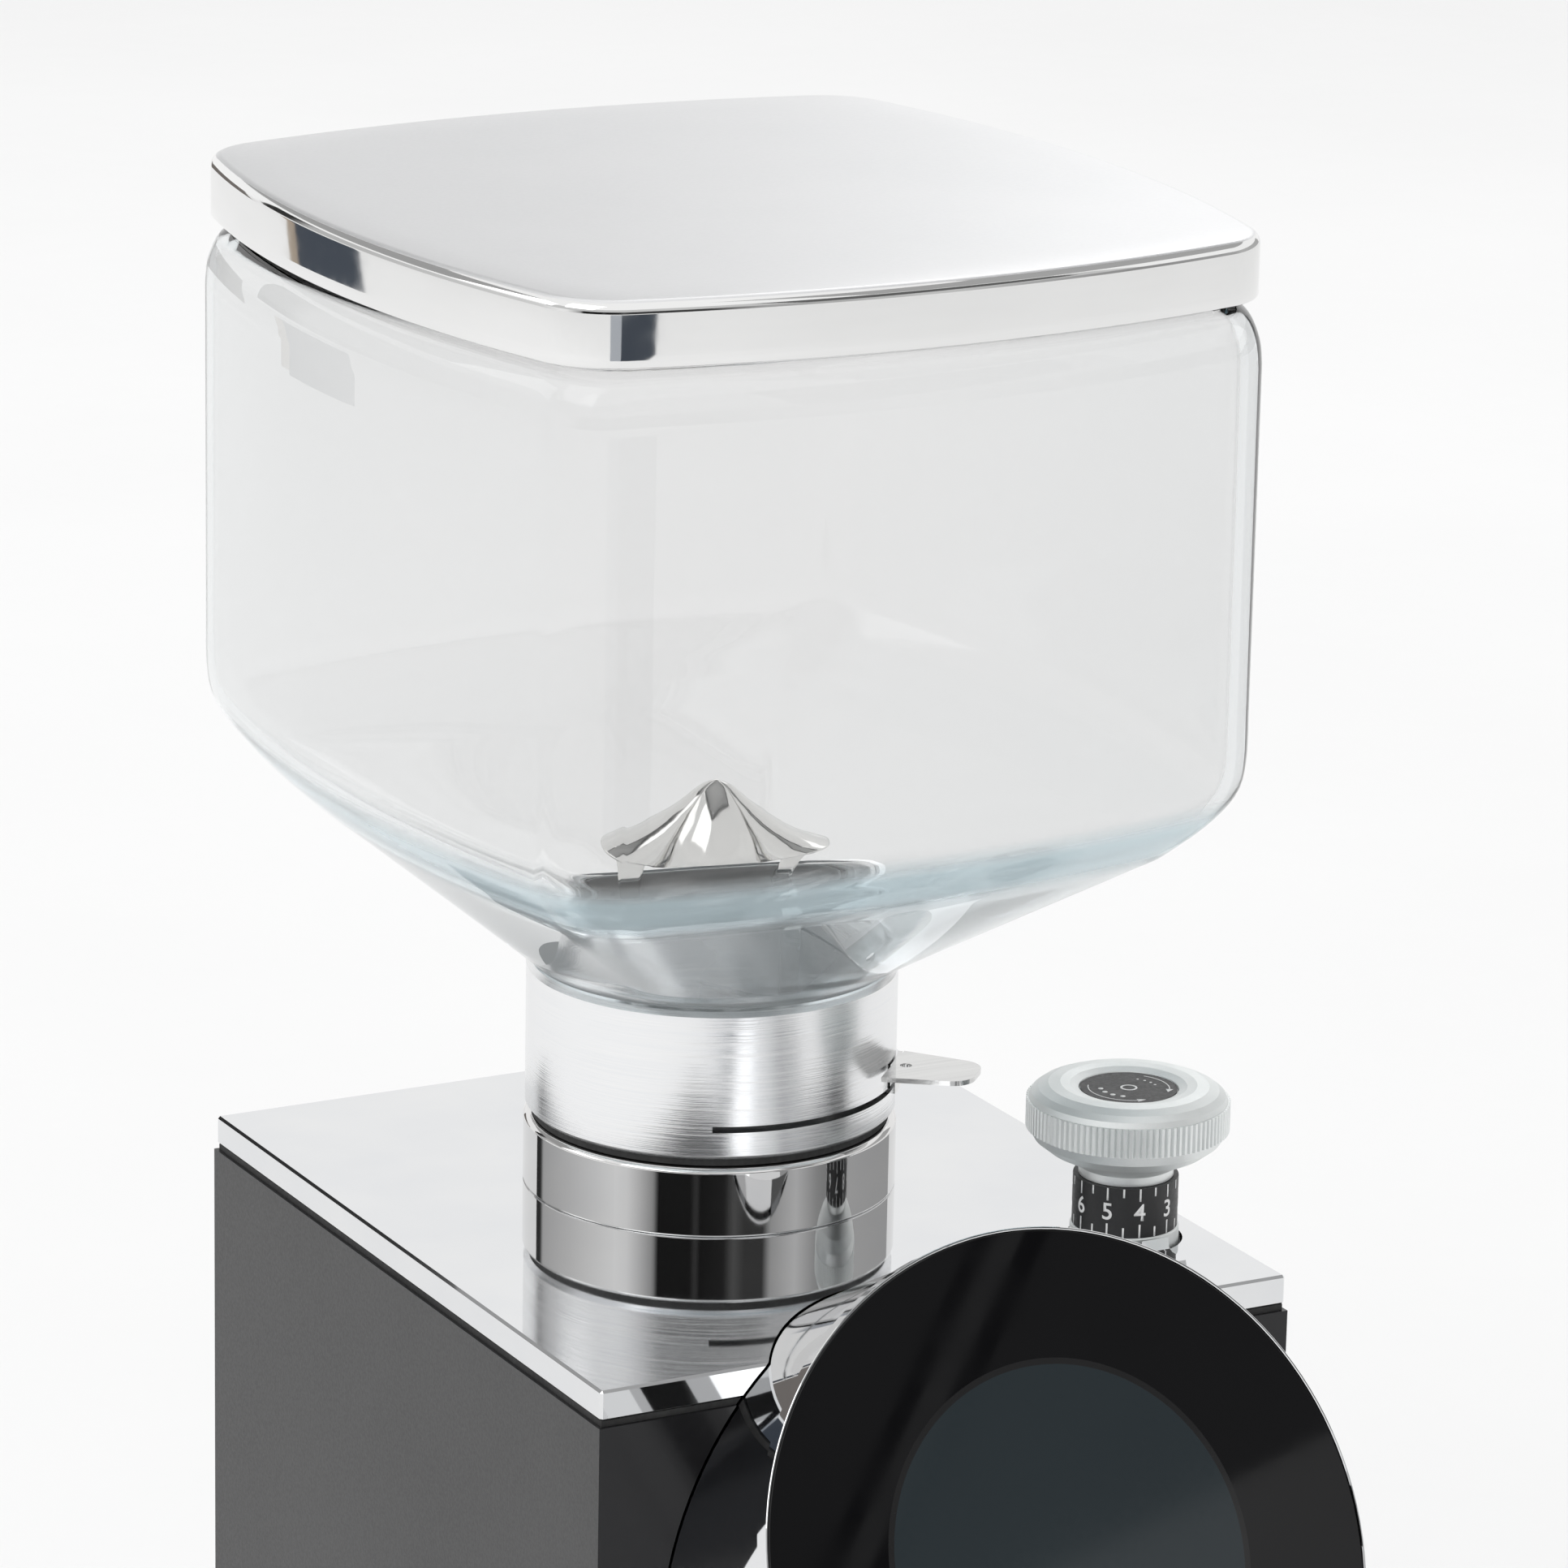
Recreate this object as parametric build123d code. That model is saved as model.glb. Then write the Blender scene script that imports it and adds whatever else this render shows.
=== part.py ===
from build123d import *
import math
import os

# Burr coffee grinder: a box body with a tilted round control panel in a drum,
# a glass bean hopper on a collar, and a numbered grind dial beside it.
# Millimetres. +Z is up, the front faces -Y, the origin is on the floor under
# the middle of the whole machine.

# ---- driving dimensions -------------------------------------------------
BODY_WIDTH = 151.6          # outside of the side panels
BODY_DEPTH = 178.4          # front face to rear face
FRONT_Y = -52.5             # front face of the body
FOOT_HEIGHT = 8.0
PLATE_TOP = 258.0           # top face of the chrome top plate
PLATE_THICK = 6.1
PLATE_INSET = 0.45          # the plate stops this far inside the body
PLATE_GAP = 1.2             # shadow gap between the panels and the plate
SIDE_THICK = 2.0
FRONT_THICK = 3.0
BASE_HEIGHT = 13.0
BASE_REACH = 88.6           # base in front of the front face
BURR_FROM_FRONT = 101.4     # grinding axis behind the front face
SMALL_GAP = 0.3             # between pieces that must not touch
FIT = 0.05                  # radial clearance of a running fit
SHEET = 1.0                 # thin stainless sheet

DRUM_RADIUS = 62.3          # chrome drum that carries the round panel
DRUM_TILT = 28.2            # the panel leans back by this many degrees
DRUM_REACH = 47.0           # panel centre ahead of the front face
DRUM_DROP = 29.3            # panel centre below the top of the plate
DRUM_WALL = 2.2
DRUM_LENGTH = 140.0         # panel to the drum's hidden end
DRUM_IN_PLATE = 46.0        # the drum cuts this far into the top plate
STOP_THICK = 2.5            # ledge in the drum that carries the display
RIM_RADIUS = 63.3
RIM_DEPTH = 3.3             # front of the rim to the back of the mask
RIM_WALL = 0.5
RIM_LEDGE = 0.6             # the rim stands on the drum's edge
GLASS_RADIUS = 62.7         # the glass covers the whole panel
GLASS_FRONT = -0.2          # depths from the panel's front
GLASS_BACK = -2.9
DISPLAY_RADIUS = 37.0
MODULE_RADIUS = 45.0
MODULE_BACK = -10.0
BOARD_SIDE = 52.0
BOARD_THICK = 1.6

RING_RADIUS = 37.9
RING_HEIGHT = 14.3          # heights of the hopper parts are above the plate
COLLAR_RADIUS = 37.6
COLLAR_BOTTOM = 15.9
COLLAR_TOP = 46.7
SPIGOT_RADIUS = 30.8
THROAT_OUTER = 31.0
THROAT_INNER = 27.5
NECK_RADIUS = 30.8
NECK_BOTTOM = 29.0
SLOT_BOTTOM = 21.8
SLOT_TOP = 23.1
SLOT_ANGLES = (-117.0, -26.0)   # from +X, anticlockwise from above
GATE_ANGLE = -44.0          # the shutter's tab at rest
SHUTTER_RADIUS = 30.2
TAB_ROOT = 37.9
TAB_END = 55.8
TAB_TOP = 28.0
RISER_ANGLES = (-1.0, 13.0)  # the riser of the tab, from its middle

SIDE_BOW = 290.0            # radius of the bowed sides of glass and lid
HOPPER_TURN = 1.1           # the hopper sits turned by this many degrees in its neck
GLASS_HALF_X = 87.6         # middle of one bowed glass side, from the axis
GLASS_HALF_Y = 92.2
GLASS_CORNER = 17.6
GLASS_THICK = 4.0
FUNNEL_BOTTOM = 46.8
FUNNEL_RADIUS = 37.2        # the funnel stands on the collar's rim
GLASS_FUNNEL = ((79.0, 13.0), (85.5, 6.2), (92.0, 1.5), (98.0, 0.0))   # height, draw-in
GLASS_SHOULDER = 179.0
GLASS_MOUTH = ((184.5, 1.0), (187.5, 2.2), (190.6, 4.2))
MOUTH_CORNER = 14.0
LID_INSET = 1.1             # outlines drawn in from the glass walls
LID_CORNER = 17.0
LID_TOP = 204.0
LID_HEIGHT = 12.8
LID_WALL = 2.5
LID_ROLL = 2.5              # radius of the lid's rolled top edge
PLUG_INSET = 11.4
PLUG_CORNER = 9.0
PLUG_WALL = 2.0
PLUG_BOTTOM = 187.4
SEAL_THICK = 1.0
GUIDE_TOP = 84.0
GUIDE_ANGLE = -28.4         # the guide's two wings, 180 degrees apart, from +X
GUIDE_WING = ((23.0, 70.9), (14.0, 74.4), (7.0, 79.6), (2.0, 83.5))
GUIDE_LEAF = ((12.8, 67.0), (11.4, 71.6), (9.5, 75.5), (5.8, 79.9), (2.0, 83.5))
GUIDE_WING_SPREAD = 36.0
GUIDE_LEAF_SPREAD = 50.0
GUIDE_LEG_RADIUS = 17.8
GUIDE_LEG_SPREAD = 9.0
GUIDE_FOOT = 24.0

KNOB_X = 58.35
KNOB_RADIUS = 20.3
KNURL_COUNT = 100
LABEL_RADIUS = 9.65
KNOB_HOLE_RADIUS = 11.7
SPINDLE_RADIUS = 4.0
GEAR_MODULE = 1.0
RING_TEETH = 90
IDLER_TEETH = 34
PINION_TEETH = 20
GEAR_THICK = 7.0
GEAR_DROP = 9.0             # gears below the plate

BURR_RADIUS = 32.5
BURR_THICK = 8.0
BURR_GAP = 0.6              # between the burrs at rest
BURR_FURROWS = 18
BURR_SCREW_CIRCLE = 26.5
HOLDER_RADIUS = 34.0
KEY_RADIUS = 38.0           # keys that stop the upper burr turning
CHAMBER_RADIUS = 36.2
CHAMBER_SCREW_CIRCLE = 47.0
FURROW = (13.0, 1.6, 2.4)   # length, width and height of the cutter
FURROW_SLANT = 18.0
FURROW_RADIUS = 27.5
CARRIER_THICK = 9.0
MOTOR_LENGTH = 92.0
MOTOR_RADIUS = 46.0
MOTOR_FINS = 24
FAN_BLADES = 7
FAN_DROP = 6.0              # fan below the motor
ROTOR_RADIUS = 25.3
BEARING_RADIUS = 11.0
SHAFT_RADIUS = 6.0
POST_X = 66.0
CAPACITOR_X = -46.0
CAPACITOR_INSET = 21.0      # ahead of the rear face

CHUTE_HALF_WIDTH = 13.0
SPOUT_RADIUS = 13.0
SPOUT_REACH = 38.5          # ahead of the front face
SPOUT_TOP = 165.5
SPOUT_BOTTOM = 131.0

FORK_Z = 116.0
FORK_HALF = 33.0
FORK_REACH = 60.0
FORK_SCREW_X = 20.0
BUTTON_Z = 116.0
BUTTON_RADIUS = 5.8
SCREW_RADIUS = 2.0
TRAY_HALF = 61.0
TRAY_BACK_GAP = 6.0
FOOT_X = 58.0
POST_RADIUS = 4.0
SOCKET_Z = 48.0             # mains inlet and rocker switch
INLET_X = 34.0
INLET_WIDTH = 28.0
INLET_TALL = 20.0
SWITCH_X = -4.0
SWITCH_WIDTH = 14.0
SWITCH_TALL = 23.0
ROCKER_WIDTH = 10.0
ROCKER_TALL = 16.0
CAPACITOR_RADIUS = 15.5
CAPACITOR_TALL = 62.0
BOARD_X = -60.0             # control board, on the left side panel
VENT_ROWS = 9
VENT_PITCH = 8.0
VENT_BASE_Z = 96.0
VENT_X = 26.0
VENT_WIDTH = 40.0
VENT_TALL = 3.0

# ---- derived positions --------------------------------------------------
PLATE_BOTTOM = PLATE_TOP - PLATE_THICK
PANEL_TOP = PLATE_BOTTOM - PLATE_GAP
BACK_Y = FRONT_Y + BODY_DEPTH
HALF_WIDTH = BODY_WIDTH / 2
BURR_Y = FRONT_Y + BURR_FROM_FRONT
SPOUT_Y = FRONT_Y - SPOUT_REACH
CAPACITOR_Y = BACK_Y - CAPACITOR_INSET
BASE_BOTTOM = FOOT_HEIGHT
BASE_FLOOR = BASE_BOTTOM + 3.0
BASE_TOP = BASE_BOTTOM + BASE_HEIGHT
BASE_FRONT_Y = FRONT_Y - BASE_REACH
GEAR_TOP = PLATE_BOTTOM - GEAR_DROP
GEAR_BOTTOM = GEAR_TOP - GEAR_THICK
RING_PITCH = GEAR_MODULE * RING_TEETH / 2
IDLER_PITCH = GEAR_MODULE * IDLER_TEETH / 2
PINION_PITCH = GEAR_MODULE * PINION_TEETH / 2
KNOB_DISTANCE = RING_PITCH + 2 * IDLER_PITCH + PINION_PITCH
KNOB_Y = BURR_Y - math.sqrt(KNOB_DISTANCE ** 2 - KNOB_X ** 2)
GEAR_LINE = math.degrees(math.atan2(KNOB_Y - BURR_Y, KNOB_X))
IDLER_SHARE = (RING_PITCH + IDLER_PITCH) / KNOB_DISTANCE
IDLER_X = KNOB_X * IDLER_SHARE
IDLER_Y = BURR_Y + (KNOB_Y - BURR_Y) * IDLER_SHARE
UPPER_BURR_TOP = GEAR_BOTTOM - 12.0
UPPER_BURR_BOTTOM = UPPER_BURR_TOP - BURR_THICK
LOWER_BURR_TOP = UPPER_BURR_BOTTOM - BURR_GAP
LOWER_BURR_BOTTOM = LOWER_BURR_TOP - BURR_THICK
CARRIER_BOTTOM = LOWER_BURR_BOTTOM - CARRIER_THICK
CHAMBER_FLOOR = CARRIER_BOTTOM - 1.5
CHAMBER_BOTTOM = CHAMBER_FLOOR - 5.0
CHAMBER_TOP = GEAR_BOTTOM - 0.6
MOTOR_PLATE_BOTTOM = CHAMBER_BOTTOM - 6.0
MOTOR_BOTTOM = MOTOR_PLATE_BOTTOM - MOTOR_LENGTH
SHAFT_TOP = LOWER_BURR_BOTTOM - 2.0
SHAFT_BOTTOM = MOTOR_BOTTOM - 11.0
POST_YS = (BURR_Y - 40.0, BURR_Y + 45.0)
ROCKER_Y = BACK_Y - 4.0
REAR_SCREWS = [(x, z) for x in (-66.0, 66.0) for z in (30.0, 135.0, 240.0)]

TILT_SIN = math.sin(math.radians(DRUM_TILT))
TILT_COS = math.cos(math.radians(DRUM_TILT))
PANEL_PLANE = Plane(
    origin=(0, FRONT_Y - DRUM_REACH, PLATE_TOP - DRUM_DROP),
    x_dir=(1, 0, 0),
    z_dir=(0, -TILT_COS, TILT_SIN),
)


# ---- helpers ------------------------------------------------------------
def disc(radius, bottom, top, x=0.0, y=BURR_Y):
    """Upright cylinder between two heights, on the grinding axis by default."""
    height = top - bottom
    return Pos(x, y, bottom + height / 2) * Cylinder(radius, height)


def tube(outer, inner, bottom, top, x=0.0, y=BURR_Y):
    """Upright ring between two heights."""
    return disc(outer, bottom, top, x, y) - disc(inner, bottom - 1, top + 1, x, y)


def block(x_range, y_range, z_range):
    """Box between pairs of limits."""
    spans = [x_range, y_range, z_range]
    sizes = [high - low for low, high in spans]
    middle = [(high + low) / 2 for low, high in spans]
    return Pos(*middle) * Box(*sizes)


def box_at(x, z, width, tall, y_range):
    """Box centred on a point of an upright face, between two depths."""
    return block((x - width / 2, x + width / 2), y_range, (z - tall / 2, z + tall / 2))


def lying_disc(radius, front, back, x, z):
    """Cylinder along Y between two depths."""
    return Pos(x, (front + back) / 2, z) * Rot(90, 0, 0) * Cylinder(radius, back - front)


def turned(profile, x, y):
    """Solid of revolution about an upright axis, from (radius, height) points."""
    outline = Polyline(*[(radius, 0, height) for radius, height in profile], close=True)
    solid = revolve(make_face(outline), Axis.Z)
    return Pos(x, y, 0) * solid


def around(count, radius, phase=0.0, x=0.0, y=BURR_Y):
    """Points spaced evenly on a circle, as (x, y) pairs."""
    points = []
    for index in range(count):
        angle = math.radians(phase + 360 * index / count)
        points.append((x + radius * math.cos(angle), y + radius * math.sin(angle)))
    return points


def panel_disc(radius, back, front):
    """Cylinder square to the tilted panel; 0 is the panel's front, minus is into the drum."""
    depth = front - back
    return PANEL_PLANE * Pos(0, 0, back + depth / 2) * Cylinder(radius, depth)


def panel_ring(outer, inner, back, front):
    """Ring square to the tilted panel."""
    return panel_disc(outer, back, front) - panel_disc(inner, back - 1, front + 1)


def save(name, shape):
    """Write one node, as one solid or as a group of solids."""
    solids = shape.solids()
    result = solids[0] if len(solids) == 1 else Compound(solids)
    result.label = name
    export_step(result, os.path.join("parts", name + ".step"))


def group(shapes):
    """Separate solids that share one node."""
    solids = []
    for shape in shapes:
        solids.extend(shape.solids())
    return Compound(solids)


def bowed_points(inset, corner):
    """Ends and middles of the eight arcs of a rounded rectangle with bowed sides."""
    half_x = GLASS_HALF_X - inset
    half_y = GLASS_HALF_Y - inset
    shift_x = SIDE_BOW - half_x
    shift_y = SIDE_BOW - half_y
    apart = math.hypot(shift_x, shift_y)
    rise = math.sqrt((SIDE_BOW - corner) ** 2 - apart ** 2 / 4)
    centre_x = shift_y * rise / apart - shift_x / 2
    centre_y = shift_x * rise / apart - shift_y / 2
    low = math.atan2(centre_y, centre_x + shift_x)
    high = math.pi / 2 - math.atan2(centre_x, centre_y + shift_y)
    bend = []
    for angle in (low, (low + high) / 2, high):
        bend.append((centre_x + corner * math.cos(angle), centre_y + corner * math.sin(angle)))
    quarter = [(half_x, 0)] + bend
    mirrored = [(-x, y) for x, y in [(0, half_y)] + bend[::-1]]
    top_half = quarter + mirrored
    return top_half + [(-x, -y) for x, y in top_half]


def arc_loop(points, height):
    """Closed wire of arcs, each through an end, a middle and the next end."""
    edges = []
    for index in range(1, len(points), 2):
        ends = [points[(index + step) % len(points)] for step in range(3)]
        edges.append(ThreePointArc(*[(x, y, 0) for x, y in ends]))
    return Pos(0, BURR_Y, height) * Rot(0, 0, HOPPER_TURN) * Wire(edges)


def bowed_outline(inset, corner, height):
    """Outline of the hopper, drawn in from the glass walls."""
    return arc_loop(bowed_points(inset, corner), height)


def matched_circle(radius, corner, height):
    """Circle split in line with the hopper's outline, so that the two loft cleanly."""
    points = []
    for x, y in bowed_points(0, corner):
        length = math.hypot(x, y)
        points.append((radius * x / length, radius * y / length))
    return arc_loop(points, height)


def bowed_prism(inset, corner, bottom, top):
    """Upright solid of the hopper's outline."""
    return extrude(make_face(bowed_outline(inset, corner, bottom)), top - bottom, dir=(0, 0, 1))


def spur_gear(teeth, bottom, top, x, y, phase):
    """Spur gear with straight-flanked teeth; phase turns it, in degrees."""
    pitch = GEAR_MODULE * teeth / 2
    root = pitch - 1.2 * GEAR_MODULE
    tip = pitch + 0.9 * GEAR_MODULE
    step = 360 / teeth
    outline = []
    for index in range(teeth):
        middle = phase + index * step
        for radius, share in ((root, -0.36), (tip, -0.11), (tip, 0.11), (root, 0.36)):
            angle = math.radians(middle + share * step)
            outline.append((x + radius * math.cos(angle), y + radius * math.sin(angle), bottom))
    return extrude(make_face(Polyline(*outline, close=True)), top - bottom, dir=(0, 0, 1))


def drum_cutter():
    """Clears the way for the drum, along its tilted axis."""
    return panel_disc(DRUM_RADIUS + SMALL_GAP, -DRUM_LENGTH - 10, 5)


# ---- body ---------------------------------------------------------------
def make_top_plate():
    half = HALF_WIDTH - PLATE_INSET
    y_range = (FRONT_Y + PLATE_INSET, BACK_Y - PLATE_INSET)
    plate = block((-half, half), y_range, (PLATE_BOTTOM, PLATE_TOP))
    plate = chamfer(plate.edges(), 0.5)
    plate -= disc(THROAT_OUTER + FIT, PLATE_BOTTOM - 1, PLATE_TOP + 1)
    plate -= disc(KNOB_HOLE_RADIUS, PLATE_BOTTOM - 1, PLATE_TOP + 1, KNOB_X, KNOB_Y)
    return plate - drum_cutter()


def make_plate_gasket():
    inset = 0.8
    width = 1.2
    outer = HALF_WIDTH - inset
    inner = outer - width
    z_range = (PANEL_TOP, PLATE_BOTTOM)
    frame = block((-outer, outer), (FRONT_Y + inset, BACK_Y - inset), z_range)
    hole_y = (FRONT_Y + inset + width, BACK_Y - inset - width)
    frame -= block((-inner, inner), hole_y, (PANEL_TOP - 1, PLATE_BOTTOM + 1))
    return frame - drum_cutter()


def mitre_cutter(side, margin):
    """Prism that trims a front corner along its 45 degree mitre."""
    outer = side * (HALF_WIDTH + margin)
    inner = side * (HALF_WIDTH - SIDE_THICK)
    corner = Polyline(
        (outer, FRONT_Y - margin, 0),
        (inner, FRONT_Y - margin, 0),
        (inner, FRONT_Y + SIDE_THICK, 0),
        close=True,
    )
    return extrude(make_face(corner), PLATE_TOP, dir=(0, 0, 1))


def make_side_panel(side):
    limits = sorted((side * HALF_WIDTH, side * (HALF_WIDTH - SIDE_THICK)))
    panel = block(limits, (FRONT_Y, BACK_Y), (BASE_TOP, PANEL_TOP))
    return panel - mitre_cutter(side, 0.0)


def make_front_panel():
    z_range = (BASE_TOP, PANEL_TOP)
    inner = HALF_WIDTH - SIDE_THICK
    panel = block((-inner, inner), (FRONT_Y, FRONT_Y + FRONT_THICK), z_range)
    for side in (-1, 1):
        limits = sorted((side * HALF_WIDTH, side * (inner - 1)))
        strip = block(limits, (FRONT_Y, FRONT_Y + SIDE_THICK), z_range)
        panel += strip & mitre_cutter(side, 0.0)
    panel -= drum_cutter()
    panel -= lying_disc(BUTTON_RADIUS + SMALL_GAP, FRONT_Y - 1, FRONT_Y + 9, 0, BUTTON_Z)
    for side in (-1, 1):
        x = side * FORK_SCREW_X
        panel -= lying_disc(SCREW_RADIUS + FIT, FRONT_Y - 1, FRONT_Y + 9, x, FORK_Z)
    return panel


def make_rear_panel():
    inner = HALF_WIDTH - SIDE_THICK
    panel = block((-inner, inner), (BACK_Y - SIDE_THICK, BACK_Y), (BASE_TOP, PANEL_TOP))
    through = (BACK_Y - 9, BACK_Y + 9)
    panel -= box_at(INLET_X, SOCKET_Z, INLET_WIDTH, INLET_TALL, through)
    panel -= box_at(SWITCH_X, SOCKET_Z, SWITCH_WIDTH, SWITCH_TALL, through)
    for row in range(VENT_ROWS):
        z = VENT_BASE_Z + row * VENT_PITCH
        for side in (-1, 1):
            panel -= box_at(side * VENT_X, z, VENT_WIDTH, VENT_TALL, through)
    for x, z in REAR_SCREWS:
        panel -= lying_disc(SCREW_RADIUS + FIT, *through, x, z)
    return panel


def make_panel_screws():
    screws = []
    for x, z in REAR_SCREWS:
        head = lying_disc(3.6, BACK_Y, BACK_Y + 1.8, x, z)
        head = fillet(head.edges().group_by(Axis.Y)[-1], 1.2)
        drive = box_at(x, z, 4.2, 0.9, (BACK_Y + 0.9, BACK_Y + 3))
        drive += box_at(x, z, 0.9, 4.2, (BACK_Y + 0.9, BACK_Y + 3))
        shank = lying_disc(SCREW_RADIUS, BACK_Y - 8, BACK_Y, x, z)
        screws.append(head - drive + shank)
    return group(screws)


def make_base_pan():
    pan = block((-HALF_WIDTH, HALF_WIDTH), (BASE_FRONT_Y, BACK_Y), (BASE_BOTTOM, BASE_TOP))
    corners = pan.edges().filter_by(Axis.Z).group_by(Axis.Y)[0]
    pan = fillet(corners, 8)
    pan = chamfer(pan.edges().group_by(Axis.Z)[0], 1)
    wall = 4.0
    inside = HALF_WIDTH - wall
    pan -= block((-inside, inside), (FRONT_Y + wall, BACK_Y - wall), (BASE_FLOOR, BASE_TOP + 1))
    bay_y = (BASE_FRONT_Y - 1, FRONT_Y - TRAY_BACK_GAP + 1)
    pan -= block((-TRAY_HALF - 0.5, TRAY_HALF + 0.5), bay_y, (BASE_FLOOR + 1.2, BASE_TOP + 1))
    for column in range(-3, 4):
        slot = block((-2.5, 2.5), (BURR_Y - 30, BURR_Y + 30), (BASE_BOTTOM - 1, BASE_FLOOR + 1))
        pan -= Pos(12 * column, 0, 0) * slot
    return pan


def make_rubber_feet():
    feet = []
    for x in (-FOOT_X, FOOT_X):
        for y in (BASE_FRONT_Y + 22, BACK_Y - 20):
            profile = [(0, 0), (9.5, 0), (11, 2), (11, 7), (10, 8), (0, 8)]
            feet.append(turned(profile, x, y))
    return group(feet)


def make_frame_posts():
    posts = []
    for x in (-POST_X, POST_X):
        for y in POST_YS:
            posts.append(disc(POST_RADIUS, BASE_FLOOR, MOTOR_PLATE_BOTTOM, x, y))
            posts.append(disc(POST_RADIUS, CHAMBER_BOTTOM, PLATE_BOTTOM, x, y))
    return group(posts)


def make_grounds_tray():
    y_range = (BASE_FRONT_Y, FRONT_Y - TRAY_BACK_GAP)
    z_range = (BASE_FLOOR + 1.5, BASE_TOP + 1.5)
    tray = block((-TRAY_HALF, TRAY_HALF), y_range, z_range)
    tray = fillet(tray.edges().filter_by(Axis.Z), 5)
    inside = block(
        (-TRAY_HALF + 1.6, TRAY_HALF - 1.6),
        (y_range[0] + 1.6, y_range[1] - 1.6),
        (z_range[0] + 1.6, z_range[1] + 1),
    )
    return tray - fillet(inside.edges().filter_by(Axis.Z), 3.4)


# ---- drum and round panel -----------------------------------------------
def make_display_drum():
    shell = panel_ring(DRUM_RADIUS, DRUM_RADIUS - DRUM_WALL, -DRUM_LENGTH, -RIM_DEPTH - RIM_LEDGE)
    stop = (MODULE_BACK - STOP_THICK, MODULE_BACK)
    shell += panel_ring(DRUM_RADIUS - 0.5, MODULE_RADIUS - 4, *stop)
    wide = (-HALF_WIDTH, HALF_WIDTH)
    ahead = block(wide, (FRONT_Y - 2 * DRUM_LENGTH, FRONT_Y + 5), (0, 2 * PLATE_TOP))
    in_plate = block(wide, (FRONT_Y, FRONT_Y + DRUM_IN_PLATE), (PLATE_BOTTOM - 2, 2 * PLATE_TOP))
    shell = shell & (ahead + in_plate)
    return shell - disc(SPOUT_RADIUS + SMALL_GAP, SPOUT_BOTTOM, SPOUT_TOP + 2, 0, SPOUT_Y)


def make_panel_rim():
    back = -RIM_DEPTH - RIM_LEDGE
    rim = panel_ring(RIM_RADIUS, RIM_RADIUS - RIM_WALL, back, 0)
    rim += panel_ring(RIM_RADIUS, DRUM_RADIUS - DRUM_WALL, back, -RIM_DEPTH)
    edges = rim.edges().filter_by(GeomType.CIRCLE)
    front = edges.sort_by(Axis((0, 0, 0), PANEL_PLANE.z_dir))[-2:]
    return chamfer(front, 0.15)


def make_panel_glass():
    return panel_disc(GLASS_RADIUS, GLASS_BACK, GLASS_FRONT)


def make_panel_mask():
    return panel_ring(GLASS_RADIUS, DISPLAY_RADIUS, -RIM_DEPTH, GLASS_BACK)


def make_display_module():
    module = panel_disc(MODULE_RADIUS, MODULE_BACK, -RIM_DEPTH)
    board_depth = MODULE_BACK - 5
    board = PANEL_PLANE * Pos(0, 0, board_depth) * Box(BOARD_SIDE, BOARD_SIDE, BOARD_THICK)
    spacer = panel_disc(5, board_depth + BOARD_THICK / 2, MODULE_BACK)
    connector = PANEL_PLANE * Pos(0, -14, board_depth - 4) * Box(18, 6, 6.4)
    return module + board + spacer + connector


# ---- hopper -------------------------------------------------------------
def above(height):
    """Height above the floor of a level given above the top plate."""
    return PLATE_TOP + height


def make_base_ring():
    ring = tube(RING_RADIUS, THROAT_OUTER + 0.15, above(0), above(RING_HEIGHT))
    outer = ring.edges().group_by(SortBy.LENGTH)[-1]
    return chamfer(outer, 0.8)


def sector(inner, outer, start, end, bottom, top):
    """Upright ring sector about the grinding axis, angles in degrees from +X."""
    middle = math.radians((start + end) / 2)
    start, end = math.radians(start), math.radians(end)

    def spot(radius, angle):
        return (radius * math.cos(angle), BURR_Y + radius * math.sin(angle), bottom)

    far = ThreePointArc(spot(outer, start), spot(outer, middle), spot(outer, end))
    near = ThreePointArc(spot(inner, end), spot(inner, middle), spot(inner, start))
    sides = [Line(spot(outer, end), spot(inner, end)), Line(spot(inner, start), spot(outer, start))]
    outline = Wire([far, sides[0], near, sides[1]])
    return extrude(make_face(outline), top - bottom, dir=(0, 0, 1))


def make_hopper_collar():
    collar = tube(COLLAR_RADIUS, THROAT_INNER, above(COLLAR_BOTTOM), above(COLLAR_TOP))
    rims = collar.edges().group_by(SortBy.LENGTH)[-1]
    collar = chamfer(rims, 1.0)
    collar += tube(SPIGOT_RADIUS, THROAT_INNER, above(2.6), above(COLLAR_BOTTOM + 0.5))
    collar -= disc(NECK_RADIUS + SMALL_GAP, above(NECK_BOTTOM), above(COLLAR_TOP + 1))
    collar -= disc(SHUTTER_RADIUS + 0.4, above(SLOT_BOTTOM), above(SLOT_TOP))
    reach = COLLAR_RADIUS + 2
    return collar - sector(20, reach, *SLOT_ANGLES, above(SLOT_BOTTOM), above(SLOT_TOP))


def make_collar_gasket():
    return tube(COLLAR_RADIUS - 1.2, SPIGOT_RADIUS, above(RING_HEIGHT + SMALL_GAP), above(COLLAR_BOTTOM))


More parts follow.
